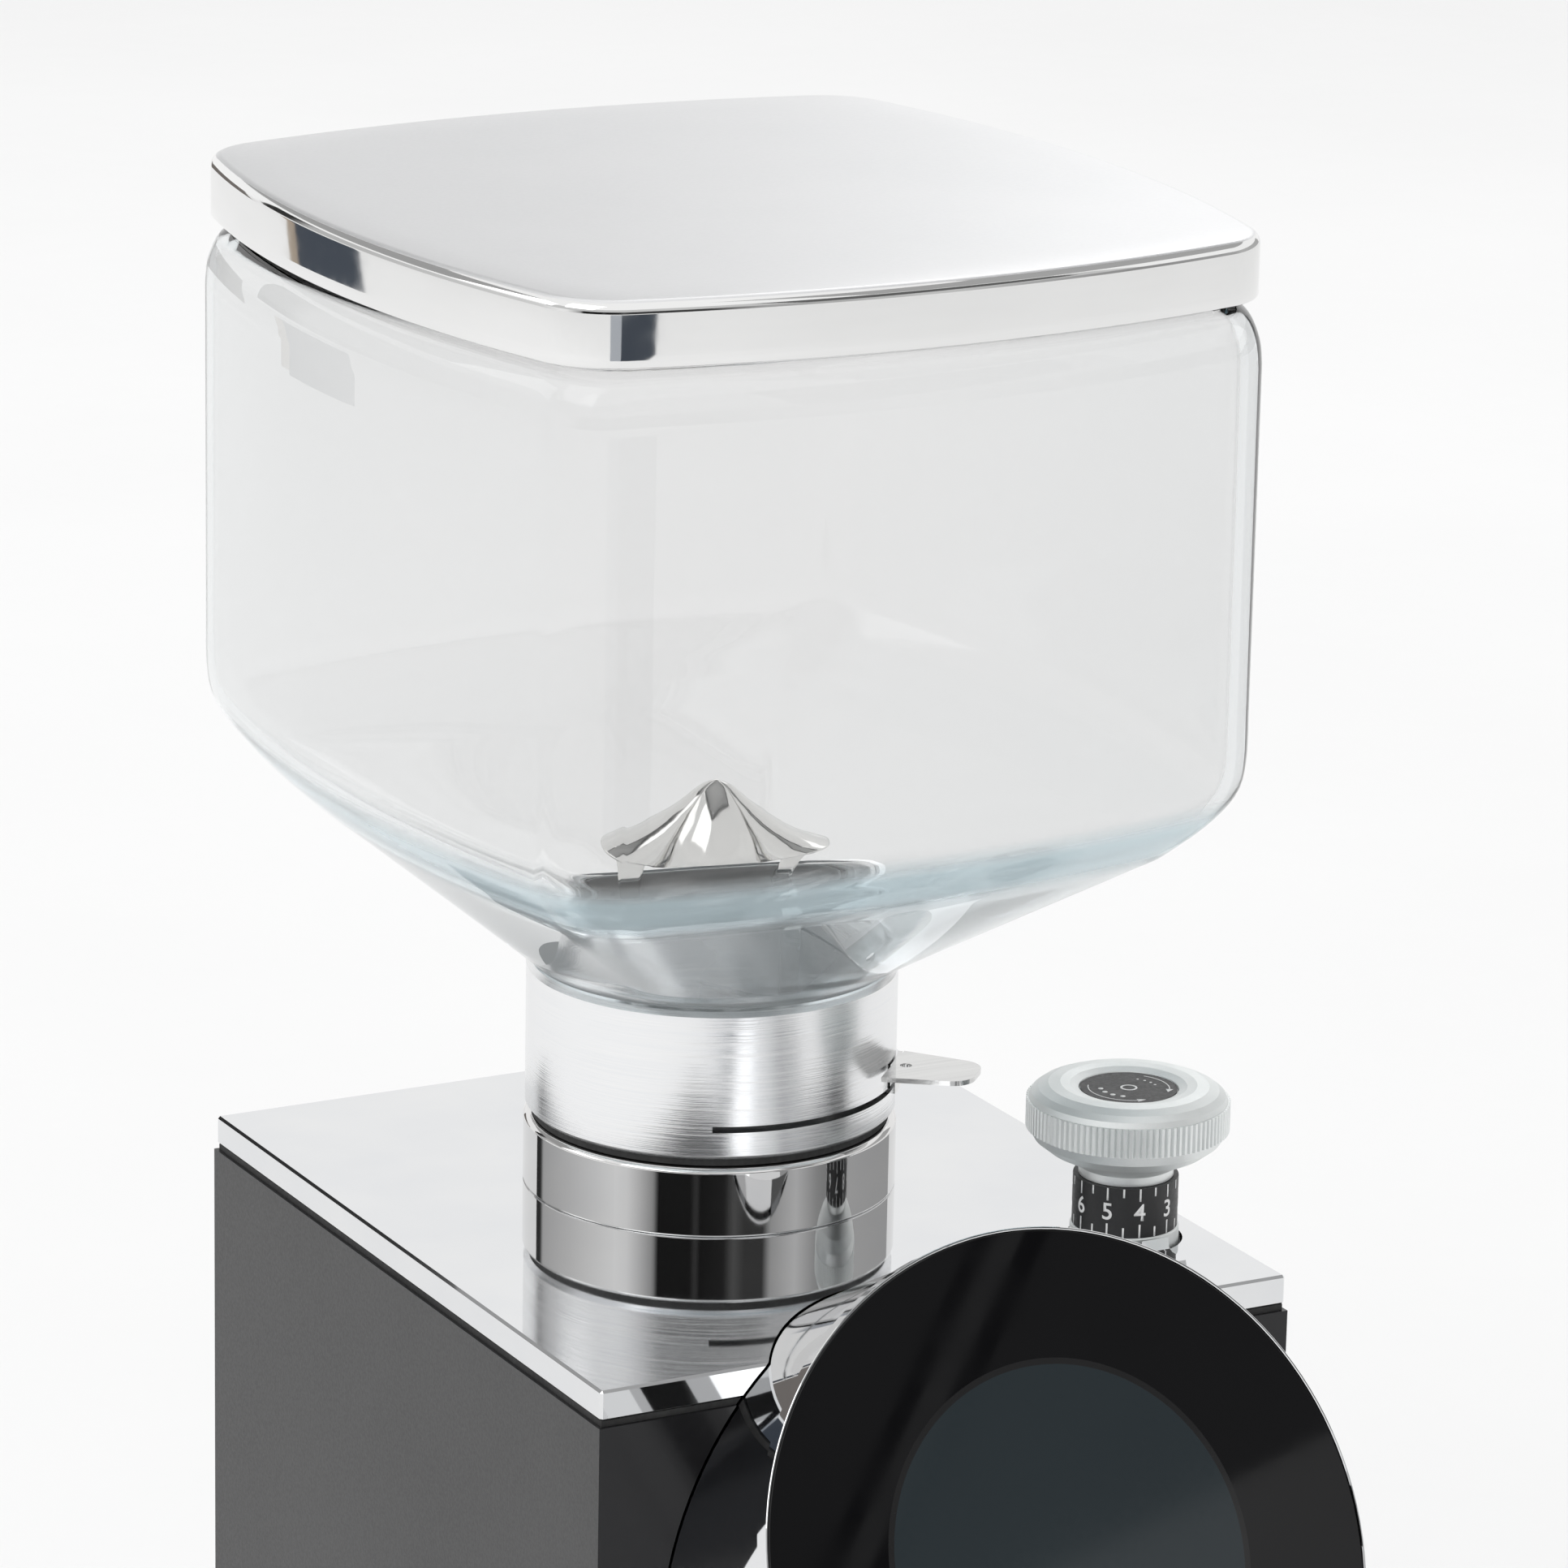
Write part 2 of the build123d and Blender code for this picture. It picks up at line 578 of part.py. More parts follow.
def make_shutter_gate():
    bottom = above(SLOT_BOTTOM) + 0.15
    top = bottom + SHEET
    gate = disc(6, bottom, top)
    for lobe in range(3):
        middle = GATE_ANGLE + 120 * lobe
        gate += sector(5, SHUTTER_RADIUS, middle - 29, middle + 29, bottom, top)
    riser = [GATE_ANGLE + angle for angle in RISER_ANGLES]
    gate += sector(28, TAB_ROOT + SHEET, *riser, bottom, top)
    lift = above(TAB_TOP)
    gate += sector(TAB_ROOT, TAB_ROOT + SHEET, *riser, bottom, lift)
    half_root = 9.0
    half_end = 6.4
    tab = Polyline(
        (TAB_ROOT + 0.3, -half_root, 0),
        (TAB_END, -half_end, 0),
        (TAB_END, half_end, 0),
        (TAB_ROOT + 0.3, half_root, 0),
        close=True,
    )
    plate = extrude(make_face(tab), SHEET, dir=(0, 0, 1))
    plate = fillet(plate.edges().filter_by(Axis.Z).group_by(Axis.X)[-1], 5)
    plate -= Pos(TAB_ROOT + 3, 0, 0) * Cylinder(1.2, 5)
    return gate + Pos(0, BURR_Y, lift - SHEET) * Rot(0, 0, GATE_ANGLE) * plate


def glass_solid(inset, funnel_radius, bottom_drop, top_rise):
    """Hopper shape: round neck, sloping funnel, bowed walls and a drawn-in mouth."""
    start = matched_circle(funnel_radius, GLASS_CORNER, above(FUNNEL_BOTTOM))
    stages = [bowed_outline(draw + inset, GLASS_CORNER, above(height)) for height, draw in GLASS_FUNNEL]
    funnel = Solid.make_loft([start] + stages, ruled=True)
    wall_top = GLASS_FUNNEL[-1][0]
    walls = bowed_prism(inset, GLASS_CORNER, above(wall_top), above(GLASS_SHOULDER))
    base = bowed_outline(inset, GLASS_CORNER, above(GLASS_SHOULDER))
    mouth = [bowed_outline(draw + inset, MOUTH_CORNER, above(height)) for height, draw in GLASS_MOUTH]
    shoulder = Solid.make_loft([base] + mouth, ruled=True)
    pipe = disc(NECK_RADIUS - inset, above(NECK_BOTTOM + 1.6) - bottom_drop, above(FUNNEL_BOTTOM))
    shape = pipe + funnel + walls + shoulder
    if top_rise:
        height, draw = GLASS_MOUTH[-1]
        shape += bowed_prism(draw + inset, MOUTH_CORNER, above(height), above(height + top_rise))
    return shape


def make_glass_hopper():
    outside = glass_solid(0, FUNNEL_RADIUS, 0, 0)
    return outside - glass_solid(GLASS_THICK, NECK_RADIUS - GLASS_THICK, 2, 3)


def make_hopper_lid():
    bottom = above(LID_TOP - LID_HEIGHT)
    top = above(LID_TOP)
    cap = bowed_prism(LID_INSET, LID_CORNER, bottom, top)
    cap = fillet(cap.edges().group_by(Axis.Z)[-1], LID_ROLL)
    cap -= bowed_prism(LID_INSET + LID_WALL, LID_CORNER - LID_WALL, bottom - 1, top - 3)
    plug = bowed_prism(PLUG_INSET, PLUG_CORNER, above(PLUG_BOTTOM), top - 2.5)
    inner = PLUG_INSET + PLUG_WALL
    plug -= bowed_prism(inner, PLUG_CORNER - PLUG_WALL, above(PLUG_BOTTOM) - 1, top - 2)
    return cap + plug


def make_lid_seal():
    bottom = above(PLUG_BOTTOM + 1)
    ring = bowed_prism(PLUG_INSET - SEAL_THICK, PLUG_CORNER, bottom, bottom + 2)
    return ring - bowed_prism(PLUG_INSET, PLUG_CORNER, bottom - 1, bottom + 3)


def guide_bell(profile, drop):
    """Bell of bent sheet, turned from a profile that runs from its rim to its apex."""
    bell = [(radius, above(height)) for radius, height in profile] + [(0, above(GUIDE_TOP))]
    outside = [(0, bell[0][1])] + bell
    inside = [(0, bell[0][1] - 2 * drop)] + [(radius, height - drop) for radius, height in bell]
    return turned(outside, 0, BURR_Y) - turned(inside, 0, BURR_Y)


def make_bean_guide():
    """Two flared wings and two steep leaves under one apex, on two legs and a foot ring."""
    wings = guide_bell(GUIDE_WING, 1.2)
    leaves = guide_bell(GUIDE_LEAF, 1.8)
    low = above(GUIDE_LEAF[0][1])
    high = above(GUIDE_TOP)
    guide = wings & disc(4, low, high)
    for side in (0, 180):
        wing = GUIDE_ANGLE + side
        leaf = wing - 90
        guide += wings & sector(0.2, 30, wing - GUIDE_WING_SPREAD, wing + GUIDE_WING_SPREAD, low, high)
        guide += leaves & sector(0.2, 30, leaf - GUIDE_LEAF_SPREAD, leaf + GUIDE_LEAF_SPREAD, low, high)
        leg = (wing - GUIDE_LEG_SPREAD, wing + GUIDE_LEG_SPREAD)
        guide += sector(GUIDE_LEG_RADIUS - 1.2, GUIDE_LEG_RADIUS, *leg, above(GUIDE_FOOT), above(72.6))
    foot = tube(THROAT_INNER - FIT, GUIDE_LEG_RADIUS - 1.2, above(GUIDE_FOOT), above(GUIDE_FOOT + 1.2))
    return guide + foot


# ---- dial ---------------------------------------------------------------
def make_adjust_knob():
    low = above(0)
    profile = [
        (0, 3.0), (7.4, 3.0), (7.4, 13.4), (9.5, 13.4), (9.5, 15.2), (11.4, 16.4), (15.8, 18.6),
        (18.6, 20.8), (19.8, 22.9), (19.8, 29.0), (19.3, 30.0), (18.0, 31.0), (16.0, 31.8),
        (13.6, 32.0), (11.6, 31.7), (10.0, 31.1), (9.75, 30.6), (0, 30.6),
    ]
    knob = turned([(radius, low + height) for radius, height in profile], KNOB_X, KNOB_Y)
    ridges = []
    for index in range(KNURL_COUNT):
        middle = 360 * index / KNURL_COUNT
        for radius, share in ((19.85, -0.5), (KNOB_RADIUS, -0.2), (KNOB_RADIUS, 0.2)):
            angle = math.radians(middle + share * 360 / KNURL_COUNT)
            x = KNOB_X + radius * math.cos(angle)
            ridges.append((x, KNOB_Y + radius * math.sin(angle), low + 23.0))
    knob += extrude(make_face(Polyline(*ridges, close=True)), 5.9, dir=(0, 0, 1))
    return knob - disc(SPINDLE_RADIUS, low, above(24), KNOB_X, KNOB_Y)


def make_knob_label():
    return disc(LABEL_RADIUS, above(30.6), above(31.0), KNOB_X, KNOB_Y)


def make_scale_sleeve():
    return tube(10.5, 7.4, above(3.0), above(13.3), KNOB_X, KNOB_Y)


def make_dial_flange():
    flange = tube(10.9, SPINDLE_RADIUS, above(-2.5), above(3.0), KNOB_X, KNOB_Y)
    top_edge = flange.edges().group_by(Axis.Z)[-1].sort_by(SortBy.LENGTH)[-1]
    return chamfer(top_edge, 0.3)


def make_gear_bracket():
    """Bracket under the plate: the spindle's bush and the idler's pin."""
    bracket = disc(13, PLATE_BOTTOM - 5, PLATE_BOTTOM, KNOB_X, KNOB_Y)
    bracket += disc(8, PLATE_BOTTOM - 3, PLATE_BOTTOM, IDLER_X, IDLER_Y)
    span = math.hypot(KNOB_X - IDLER_X, KNOB_Y - IDLER_Y)
    middle = Pos((KNOB_X + IDLER_X) / 2, (KNOB_Y + IDLER_Y) / 2, PLATE_BOTTOM - 1.5)
    bracket += middle * Rot(0, 0, GEAR_LINE) * Box(span, 14, 3)
    bracket -= disc(SPINDLE_RADIUS + FIT, 200, PLATE_BOTTOM + 1, KNOB_X, KNOB_Y)
    bracket += disc(SPINDLE_RADIUS, GEAR_BOTTOM - 0.3, PLATE_BOTTOM, IDLER_X, IDLER_Y)
    return bracket + disc(6, GEAR_BOTTOM - 2.3, GEAR_BOTTOM - 0.3, IDLER_X, IDLER_Y)


def make_index_pointer():
    near = KNOB_Y - KNOB_HOLE_RADIUS - 0.3
    outline = Polyline(
        (near, above(0)),
        (near, above(3.0)),
        (near - 2.6, above(1.6)),
        (near - 9.6, above(1.6)),
        (near - 10.2, above(0)),
        close=True,
    )
    flank = make_face(Plane.YZ * outline)
    wedge = Pos(KNOB_X - 4, 0, 0) * extrude(flank, 8, dir=(1, 0, 0))
    plan = Polyline(
        (KNOB_X - 3.6, near + 1),
        (KNOB_X + 3.6, near + 1),
        (KNOB_X + 2.0, near - 2),
        (KNOB_X + 1.3, near - 4.5),
        (KNOB_X + 1.3, near - 11),
        (KNOB_X - 1.3, near - 11),
        (KNOB_X - 1.3, near - 4.5),
        (KNOB_X - 2.0, near - 2),
        close=True,
    )
    column = Pos(0, 0, PLATE_TOP) * extrude(make_face(plan), 5, dir=(0, 0, 1))
    return wedge & column


def make_pinion_spindle():
    spindle = disc(SPINDLE_RADIUS, GEAR_BOTTOM - 3, above(24), KNOB_X, KNOB_Y)
    return spindle + spur_gear(PINION_TEETH, GEAR_BOTTOM, GEAR_TOP, KNOB_X, KNOB_Y, GEAR_LINE + 180)


def make_idler_gear():
    phase = GEAR_LINE + 180 + 180 / IDLER_TEETH
    gear = spur_gear(IDLER_TEETH, GEAR_BOTTOM, GEAR_TOP, IDLER_X, IDLER_Y, phase)
    gear += disc(8, GEAR_TOP, GEAR_TOP + 4, IDLER_X, IDLER_Y)
    for x, y in around(5, 11, 0, IDLER_X, IDLER_Y):
        gear -= disc(2.5, GEAR_BOTTOM - 1, GEAR_TOP + 1, x, y)
    return gear - disc(SPINDLE_RADIUS + FIT, GEAR_BOTTOM - 1, GEAR_TOP + 9, IDLER_X, IDLER_Y)


def make_adjusting_ring():
    ring = spur_gear(RING_TEETH, GEAR_BOTTOM, GEAR_TOP, 0, BURR_Y, GEAR_LINE)
    return ring - disc(HOLDER_RADIUS + SMALL_GAP, GEAR_BOTTOM - 1, GEAR_TOP + 1)


# ---- grinding chamber ---------------------------------------------------
def burr_screw_spots():
    return around(3, BURR_SCREW_CIRCLE, 30)


def chamber_screw_spots():
    return around(4, CHAMBER_SCREW_CIRCLE, 45)


def make_burr_holder():
    holder = tube(HOLDER_RADIUS, THROAT_INNER, UPPER_BURR_TOP, GEAR_TOP + 0.4)
    holder += tube(HOLDER_RADIUS - 2, 19, UPPER_BURR_TOP, UPPER_BURR_TOP + 6)
    for start in (0, 180):
        holder += sector(
            HOLDER_RADIUS - 1, KEY_RADIUS, start - 5, start + 5, UPPER_BURR_TOP, UPPER_BURR_TOP + 6
        )
    for x, y in burr_screw_spots():
        holder -= disc(SCREW_RADIUS, UPPER_BURR_TOP - 1, UPPER_BURR_TOP + 5, x, y)
    return holder


def burr_solid(back, face):
    """Flat burr: a ring with a feed cone and slanting furrows in its cutting face."""
    up = 1 if face > back else -1
    profile = [
        (19, back), (BURR_RADIUS, back), (BURR_RADIUS, face), (BURR_RADIUS - 3, face),
        (23, face - up * 1.6), (20, face - up * 4.0), (19, face - up * 5),
    ]
    burr = turned(profile, 0, BURR_Y)
    for index in range(BURR_FURROWS):
        groove = Rot(0, 0, FURROW_SLANT) * Box(*FURROW)
        turn = Rot(0, 0, 360 * index / BURR_FURROWS)
        burr -= Pos(0, BURR_Y, face) * turn * Pos(FURROW_RADIUS, 0, 0) * groove
    for x, y in burr_screw_spots():
        burr -= disc(SCREW_RADIUS, min(back, face) - 1, max(back, face) + 1, x, y)
        burr -= disc(3.9, *sorted((face + up, face - up * 3.5)), x, y)
    return burr


def burr_screws(back, face):
    up = 1 if face > back else -1
    screws = []
    for x, y in burr_screw_spots():
        head = disc(3.7, *sorted((face - up * 1.2, face - up * 3.5)), x, y)
        head -= Pos(x, y, face - up * 1.2) * Box(5, 0.9, 1.6)
        shank = disc(SCREW_RADIUS, *sorted((face - up * 3.5, back - up * 4.5)), x, y)
        screws.append(head + shank)
    return group(screws)


def make_burr_carrier():
    carrier = disc(BURR_RADIUS + 0.8, CARRIER_BOTTOM, LOWER_BURR_BOTTOM)
    for wiper in range(3):
        middle = 120 * wiper
        carrier += sector(BURR_RADIUS, 35.6, middle - 3, middle + 3, CARRIER_BOTTOM, LOWER_BURR_BOTTOM)
    carrier -= disc(SHAFT_RADIUS, CARRIER_BOTTOM - 1, SHAFT_TOP)
    carrier -= disc(3, SHAFT_TOP - 1, LOWER_BURR_BOTTOM + 1)
    for x, y in burr_screw_spots():
        carrier -= disc(SCREW_RADIUS, LOWER_BURR_BOTTOM - 5, LOWER_BURR_BOTTOM + 1, x, y)
    return carrier


def make_carrier_bolt():
    low = LOWER_BURR_BOTTOM
    head = Pos(0, BURR_Y, low) * extrude(RegularPolygon(7, 6), 5)
    head = head + disc(9, low, low + 1)
    return head + disc(3, low - 12, low)


def make_grind_chamber():
    chamber = tube(44, CHAMBER_RADIUS, CHAMBER_BOTTOM, CHAMBER_TOP)
    chamber += tube(50, SHAFT_RADIUS + 1, CHAMBER_BOTTOM, CHAMBER_FLOOR)
    for start in (0, 180):
        chamber -= sector(
            30, KEY_RADIUS + 0.4, start - 5.6, start + 5.6, UPPER_BURR_TOP - 2, CHAMBER_TOP + 1
        )
    half = CHUTE_HALF_WIDTH
    port = block((-half, half), (BURR_Y - 60, BURR_Y - 30), (CHAMBER_FLOOR, CHAMBER_FLOOR + 16))
    chamber -= port
    chamber -= block((-17, 17), (BURR_Y - 60, BURR_Y - 44.1), (CHAMBER_BOTTOM - 1, CHAMBER_FLOOR + 1))
    for x, y in chamber_screw_spots():
        chamber -= disc(SCREW_RADIUS + FIT, CHAMBER_BOTTOM - 1, CHAMBER_FLOOR + 1, x, y)
    return chamber


def make_chamber_screws():
    screws = []
    for x, y in chamber_screw_spots():
        head = disc(2.9, CHAMBER_FLOOR, CHAMBER_FLOOR + 3, x, y)
        head -= disc(1.4, CHAMBER_FLOOR + 1, CHAMBER_FLOOR + 5, x, y)
        screws.append(head + disc(SCREW_RADIUS, MOTOR_PLATE_BOTTOM + 1, CHAMBER_FLOOR, x, y))
    return group(screws)


def make_bean_throat():
    throat = tube(THROAT_OUTER, THROAT_INNER, GEAR_TOP + 3, above(2))
    throat += tube(42, THROAT_OUTER, PLATE_BOTTOM - 4, PLATE_BOTTOM)
    return throat + tube(42, 37, GEAR_TOP + 0.4, PLATE_BOTTOM - 4)


def make_grounds_chute():
    start = (BURR_Y - 43.5, CHAMBER_FLOOR + 8)
    end = (SPOUT_Y, SPOUT_TOP + 11)
    rise = start[1] - end[1]
    run = start[0] - end[0]
    slope = math.degrees(math.atan2(rise, run))
    length = math.hypot(rise, run)
    middle = Pos(0, (start[0] + end[0]) / 2, (start[1] + end[1]) / 2) * Rot(slope, 0, 0)
    wall = 1.6
    outer = middle * Box(2 * CHUTE_HALF_WIDTH + 2 * wall, length, 16 + 2 * wall)
    inner = middle * Box(2 * CHUTE_HALF_WIDTH, length + 20, 16)
    outer += disc(CHUTE_HALF_WIDTH + wall, SPOUT_TOP, SPOUT_TOP + 22, 0, SPOUT_Y)
    well = disc(CHUTE_HALF_WIDTH, SPOUT_TOP - 1, SPOUT_TOP + 20.4, 0, SPOUT_Y)
    ahead = block((-30, 30), (SPOUT_Y - 60, SPOUT_Y), (0, 300))
    tube_solid = outer - (inner - ahead) - well
    behind_chamber = block((-30, 30), (BURR_Y - 44.3, 100), (0, 300))
    return tube_solid - behind_chamber


def make_spout():
    profile = [
        (CHUTE_HALF_WIDTH - 3, SPOUT_TOP), (SPOUT_RADIUS, SPOUT_TOP), (SPOUT_RADIUS, SPOUT_TOP - 20),
        (9.6, SPOUT_BOTTOM), (8.2, SPOUT_BOTTOM), (CHUTE_HALF_WIDTH - 3, SPOUT_TOP - 19),
    ]
    return turned(profile, 0, SPOUT_Y)


# ---- motor --------------------------------------------------------------
def make_motor_plate():
    half = HALF_WIDTH - SIDE_THICK - 0.8
    plate = block((-half, half), (POST_YS[0] - 8, POST_YS[1] + 8), (MOTOR_PLATE_BOTTOM, CHAMBER_BOTTOM))
    plate = fillet(plate.edges().filter_by(Axis.Z), 6)
    plate -= disc(SHAFT_RADIUS + 2, MOTOR_PLATE_BOTTOM - 1, CHAMBER_BOTTOM + 1)
    for x, y in chamber_screw_spots():
        plate -= disc(SCREW_RADIUS, MOTOR_PLATE_BOTTOM + 1, CHAMBER_BOTTOM + 1, x, y)
    return plate


def make_motor_can():
    can = disc(MOTOR_RADIUS, MOTOR_BOTTOM, MOTOR_PLATE_BOTTOM)
    inside = (MOTOR_BOTTOM + 8, MOTOR_PLATE_BOTTOM - 8)
    can -= disc(MOTOR_RADIUS - 3, *inside)
    can -= disc(BEARING_RADIUS, MOTOR_BOTTOM - 1, MOTOR_PLATE_BOTTOM + 1)
    for x, y in around(12, 33, 15):
        can -= disc(3, MOTOR_BOTTOM - 1, MOTOR_BOTTOM + 9, x, y)
    for index in range(MOTOR_FINS):
        fin = block((MOTOR_RADIUS - 1, MOTOR_RADIUS + 2.5), (-1, 1), inside)
        can += Pos(0, BURR_Y, 0) * Rot(0, 0, 360 * index / MOTOR_FINS) * fin
    return can


def make_motor_coils():
    return tube(MOTOR_RADIUS - 3, ROTOR_RADIUS + 0.6, MOTOR_BOTTOM + 16, MOTOR_PLATE_BOTTOM - 20)


def make_motor_rotor():
    return tube(ROTOR_RADIUS, SHAFT_RADIUS, MOTOR_BOTTOM + 18, MOTOR_PLATE_BOTTOM - 22)


def make_motor_shaft():
    shaft = disc(SHAFT_RADIUS, SHAFT_BOTTOM, SHAFT_TOP)
    return shaft - disc(3, LOWER_BURR_BOTTOM - 13, SHAFT_TOP + 1)


def make_motor_bearings():
    lower = tube(BEARING_RADIUS, SHAFT_RADIUS + 0.03, MOTOR_BOTTOM, MOTOR_BOTTOM + 7)
    upper = tube(BEARING_RADIUS, SHAFT_RADIUS + 0.03, MOTOR_PLATE_BOTTOM - 7, MOTOR_PLATE_BOTTOM)
    return group([lower, upper])


def make_cooling_fan():
    middle = MOTOR_BOTTOM - FAN_DROP
    fan = tube(10, SHAFT_RADIUS, middle - 4, middle + 4)
    for index in range(FAN_BLADES):
        blade = Pos(23, 0, 0) * Rot(28, 0, 0) * Box(29, 13, 1.4)
        fan += Pos(0, BURR_Y, middle) * Rot(0, 0, 360 * index / FAN_BLADES) * blade
    return fan


def make_motor_capacitor():
    top = BASE_FLOOR + CAPACITOR_TALL
    body = disc(CAPACITOR_RADIUS, BASE_FLOOR, top, CAPACITOR_X, CAPACITOR_Y)
    body = fillet(body.edges().group_by(Axis.Z)[-1], 2)
    for side in (-1, 1):
        tag = block((-0.4, 0.4), (-3.2, 3.2), (top - 1, top + 9))
        body += Pos(CAPACITOR_X + 5 * side, CAPACITOR_Y, 0) * tag
    return body


def make_control_board():
    x = BOARD_X
    y_range = (-34, 6)
    z_range = (80, 176)
    board = block((x - 0.8, x + 0.8), y_range, z_range)
    fitted = [
        ((-26, -8), (150, 168), 14), ((-26, -10), (124, 142), 12), ((-4, 2), (120, 170), 6),
        ((-28, -12), (88, 112), 16), ((-6, 3), (90, 104), 10),
    ]
    for y_span, z_span, tall in fitted:
        board += block((x + 0.7, x + tall), y_span, z_span)
    parts = [board]
    wall = -(HALF_WIDTH - SIDE_THICK)
    for y in (y_range[0] + 4, y_range[1] - 4):
        for z in (z_range[0] + 4, z_range[1] - 4):
            post = Pos((wall + x - 0.8) / 2, y, z) * Rot(0, 90, 0) * Cylinder(2.5, x - 0.8 - wall)
            parts.append(post)
    return group(parts)


# ---- fork, button, mains ------------------------------------------------
def make_portafilter_fork():
    plate = block((-FORK_HALF, FORK_HALF), (FRONT_Y - 4, FRONT_Y), (FORK_Z - 11, FORK_Z + 11))
    plate = fillet(plate.edges().filter_by(Axis.Y), 4)
    plate -= lying_disc(BUTTON_RADIUS + 1.5, FRONT_Y - 9, FRONT_Y + 1, 0, BUTTON_Z)
    for side in (-1, 1):
        inner, outer = sorted((side * (FORK_HALF - 8), side * FORK_HALF))
        arm = block((inner, outer), (FRONT_Y - FORK_REACH, FRONT_Y - 1), (FORK_Z - 9, FORK_Z - 4))
        tip = arm.edges().filter_by(Axis.Z).group_by(Axis.Y)[0]
        arm = fillet(tip, 3.6)
        lip_y = (FRONT_Y - FORK_REACH, FRONT_Y - FORK_REACH + 4)
        lip = block((inner, outer), lip_y, (FORK_Z - 9, FORK_Z - 2))
        plate += arm + fillet(lip.edges().group_by(Axis.Z)[-1], 1.2)
        plate -= lying_disc(SCREW_RADIUS + FIT, FRONT_Y - 9, FRONT_Y + 1, side * FORK_SCREW_X, FORK_Z)
    return plate


def make_fork_screws():
    screws = []
    for side in (-1, 1):
        x = side * FORK_SCREW_X
        head = lying_disc(4.2, FRONT_Y - 7.2, FRONT_Y - 4, x, FORK_Z)
        head = fillet(head.edges().group_by(Axis.Y)[0], 1.0)
        head -= Pos(x, FRONT_Y - 7.2, FORK_Z) * Rot(90, 0, 0) * extrude(RegularPolygon(2.2, 6), 2, both=True)
        shank = lying_disc(SCREW_RADIUS, FRONT_Y - 4, FRONT_Y + 10, x, FORK_Z)
        screws.append(head + shank)
    return group(screws)


def make_start_button():
    button = lying_disc(BUTTON_RADIUS, FRONT_Y - 9, FRONT_Y + 2.5, 0, BUTTON_Z)
    button = fillet(button.edges().group_by(Axis.Y)[0], 2)
    return button + lying_disc(2, FRONT_Y + 2.5, FRONT_Y + 9, 0, BUTTON_Z)


def make_button_switch():
    back = FRONT_Y + FRONT_THICK
    body = box_at(0, BUTTON_Z, 26, 18, (back, back + 18))
    body -= lying_disc(BUTTON_RADIUS + 0.6, back - 1, back + 4.5, 0, BUTTON_Z)
    body -= lying_disc(2.4, back, back + 11, 0, BUTTON_Z)
    for x in (-8, 0, 8):
        body += box_at(x, BUTTON_Z, 0.8, 5, (back + 17, back + 26))
    return body


def make_switch_frame():
    frame = box_at(SWITCH_X, SOCKET_Z, SWITCH_WIDTH + 4, SWITCH_TALL + 4, (BACK_Y, BACK_Y + 2))
    frame = fillet(frame.edges().filter_by(Axis.Y), 1.5)
    frame += box_at(SWITCH_X, SOCKET_Z, SWITCH_WIDTH - 0.4, SWITCH_TALL - 0.4, (BACK_Y - 22, BACK_Y + 1))
    cavity = (BACK_Y - 12, BACK_Y + 3)
    frame -= box_at(SWITCH_X, SOCKET_Z, ROCKER_WIDTH + 0.8, ROCKER_TALL + 3.8, cavity)
    pin = Pos(SWITCH_X, ROCKER_Y, SOCKET_Z) * Rot(0, 90, 0) * Cylinder(1.5, SWITCH_WIDTH - 1)
    return frame + pin


def make_rocker_switch():
    y = ROCKER_Y
    outline = Polyline(
        (y - 3.0, SOCKET_Z - 3.5),
        (y + 2.0, SOCKET_Z - 8.0),
        (y + 5.4, SOCKET_Z - 8.4),
        (y + 3.4, SOCKET_Z),
        (y + 3.4, SOCKET_Z + 7.4),
        (y + 0.2, SOCKET_Z + 7.8),
        (y - 3.0, SOCKET_Z + 3.5),
        close=True,
    )
    flank = make_face(Plane.YZ * outline)
    rocker = Pos(SWITCH_X - ROCKER_WIDTH / 2, 0, 0) * extrude(flank, ROCKER_WIDTH, dir=(1, 0, 0))
    return rocker - Pos(SWITCH_X, y, SOCKET_Z) * Rot(0, 90, 0) * Cylinder(1.55, ROCKER_WIDTH + 2)


def make_mains_inlet():
    flange = box_at(INLET_X, SOCKET_Z, 40, 24, (BACK_Y, BACK_Y + 2.5))
    flange = fillet(flange.edges().filter_by(Axis.Y), 4)
    body = box_at(INLET_X, SOCKET_Z, INLET_WIDTH - 0.4, INLET_TALL - 0.4, (BACK_Y - 24, BACK_Y + 1))
    inlet = flange + body
    cavity = box_at(INLET_X, SOCKET_Z, INLET_WIDTH - 4, INLET_TALL - 4, (BACK_Y - 16, BACK_Y + 3))
    cavity = chamfer(cavity.edges().filter_by(Axis.Y).group_by(Axis.Z)[-1], 4)
    inlet -= cavity
    for x, z in ((-7, 0), (0, 3.5), (7, 0)):
        inlet += box_at(INLET_X + x, SOCKET_Z + z, 2, 4, (BACK_Y - 17, BACK_Y - 2))
    return inlet


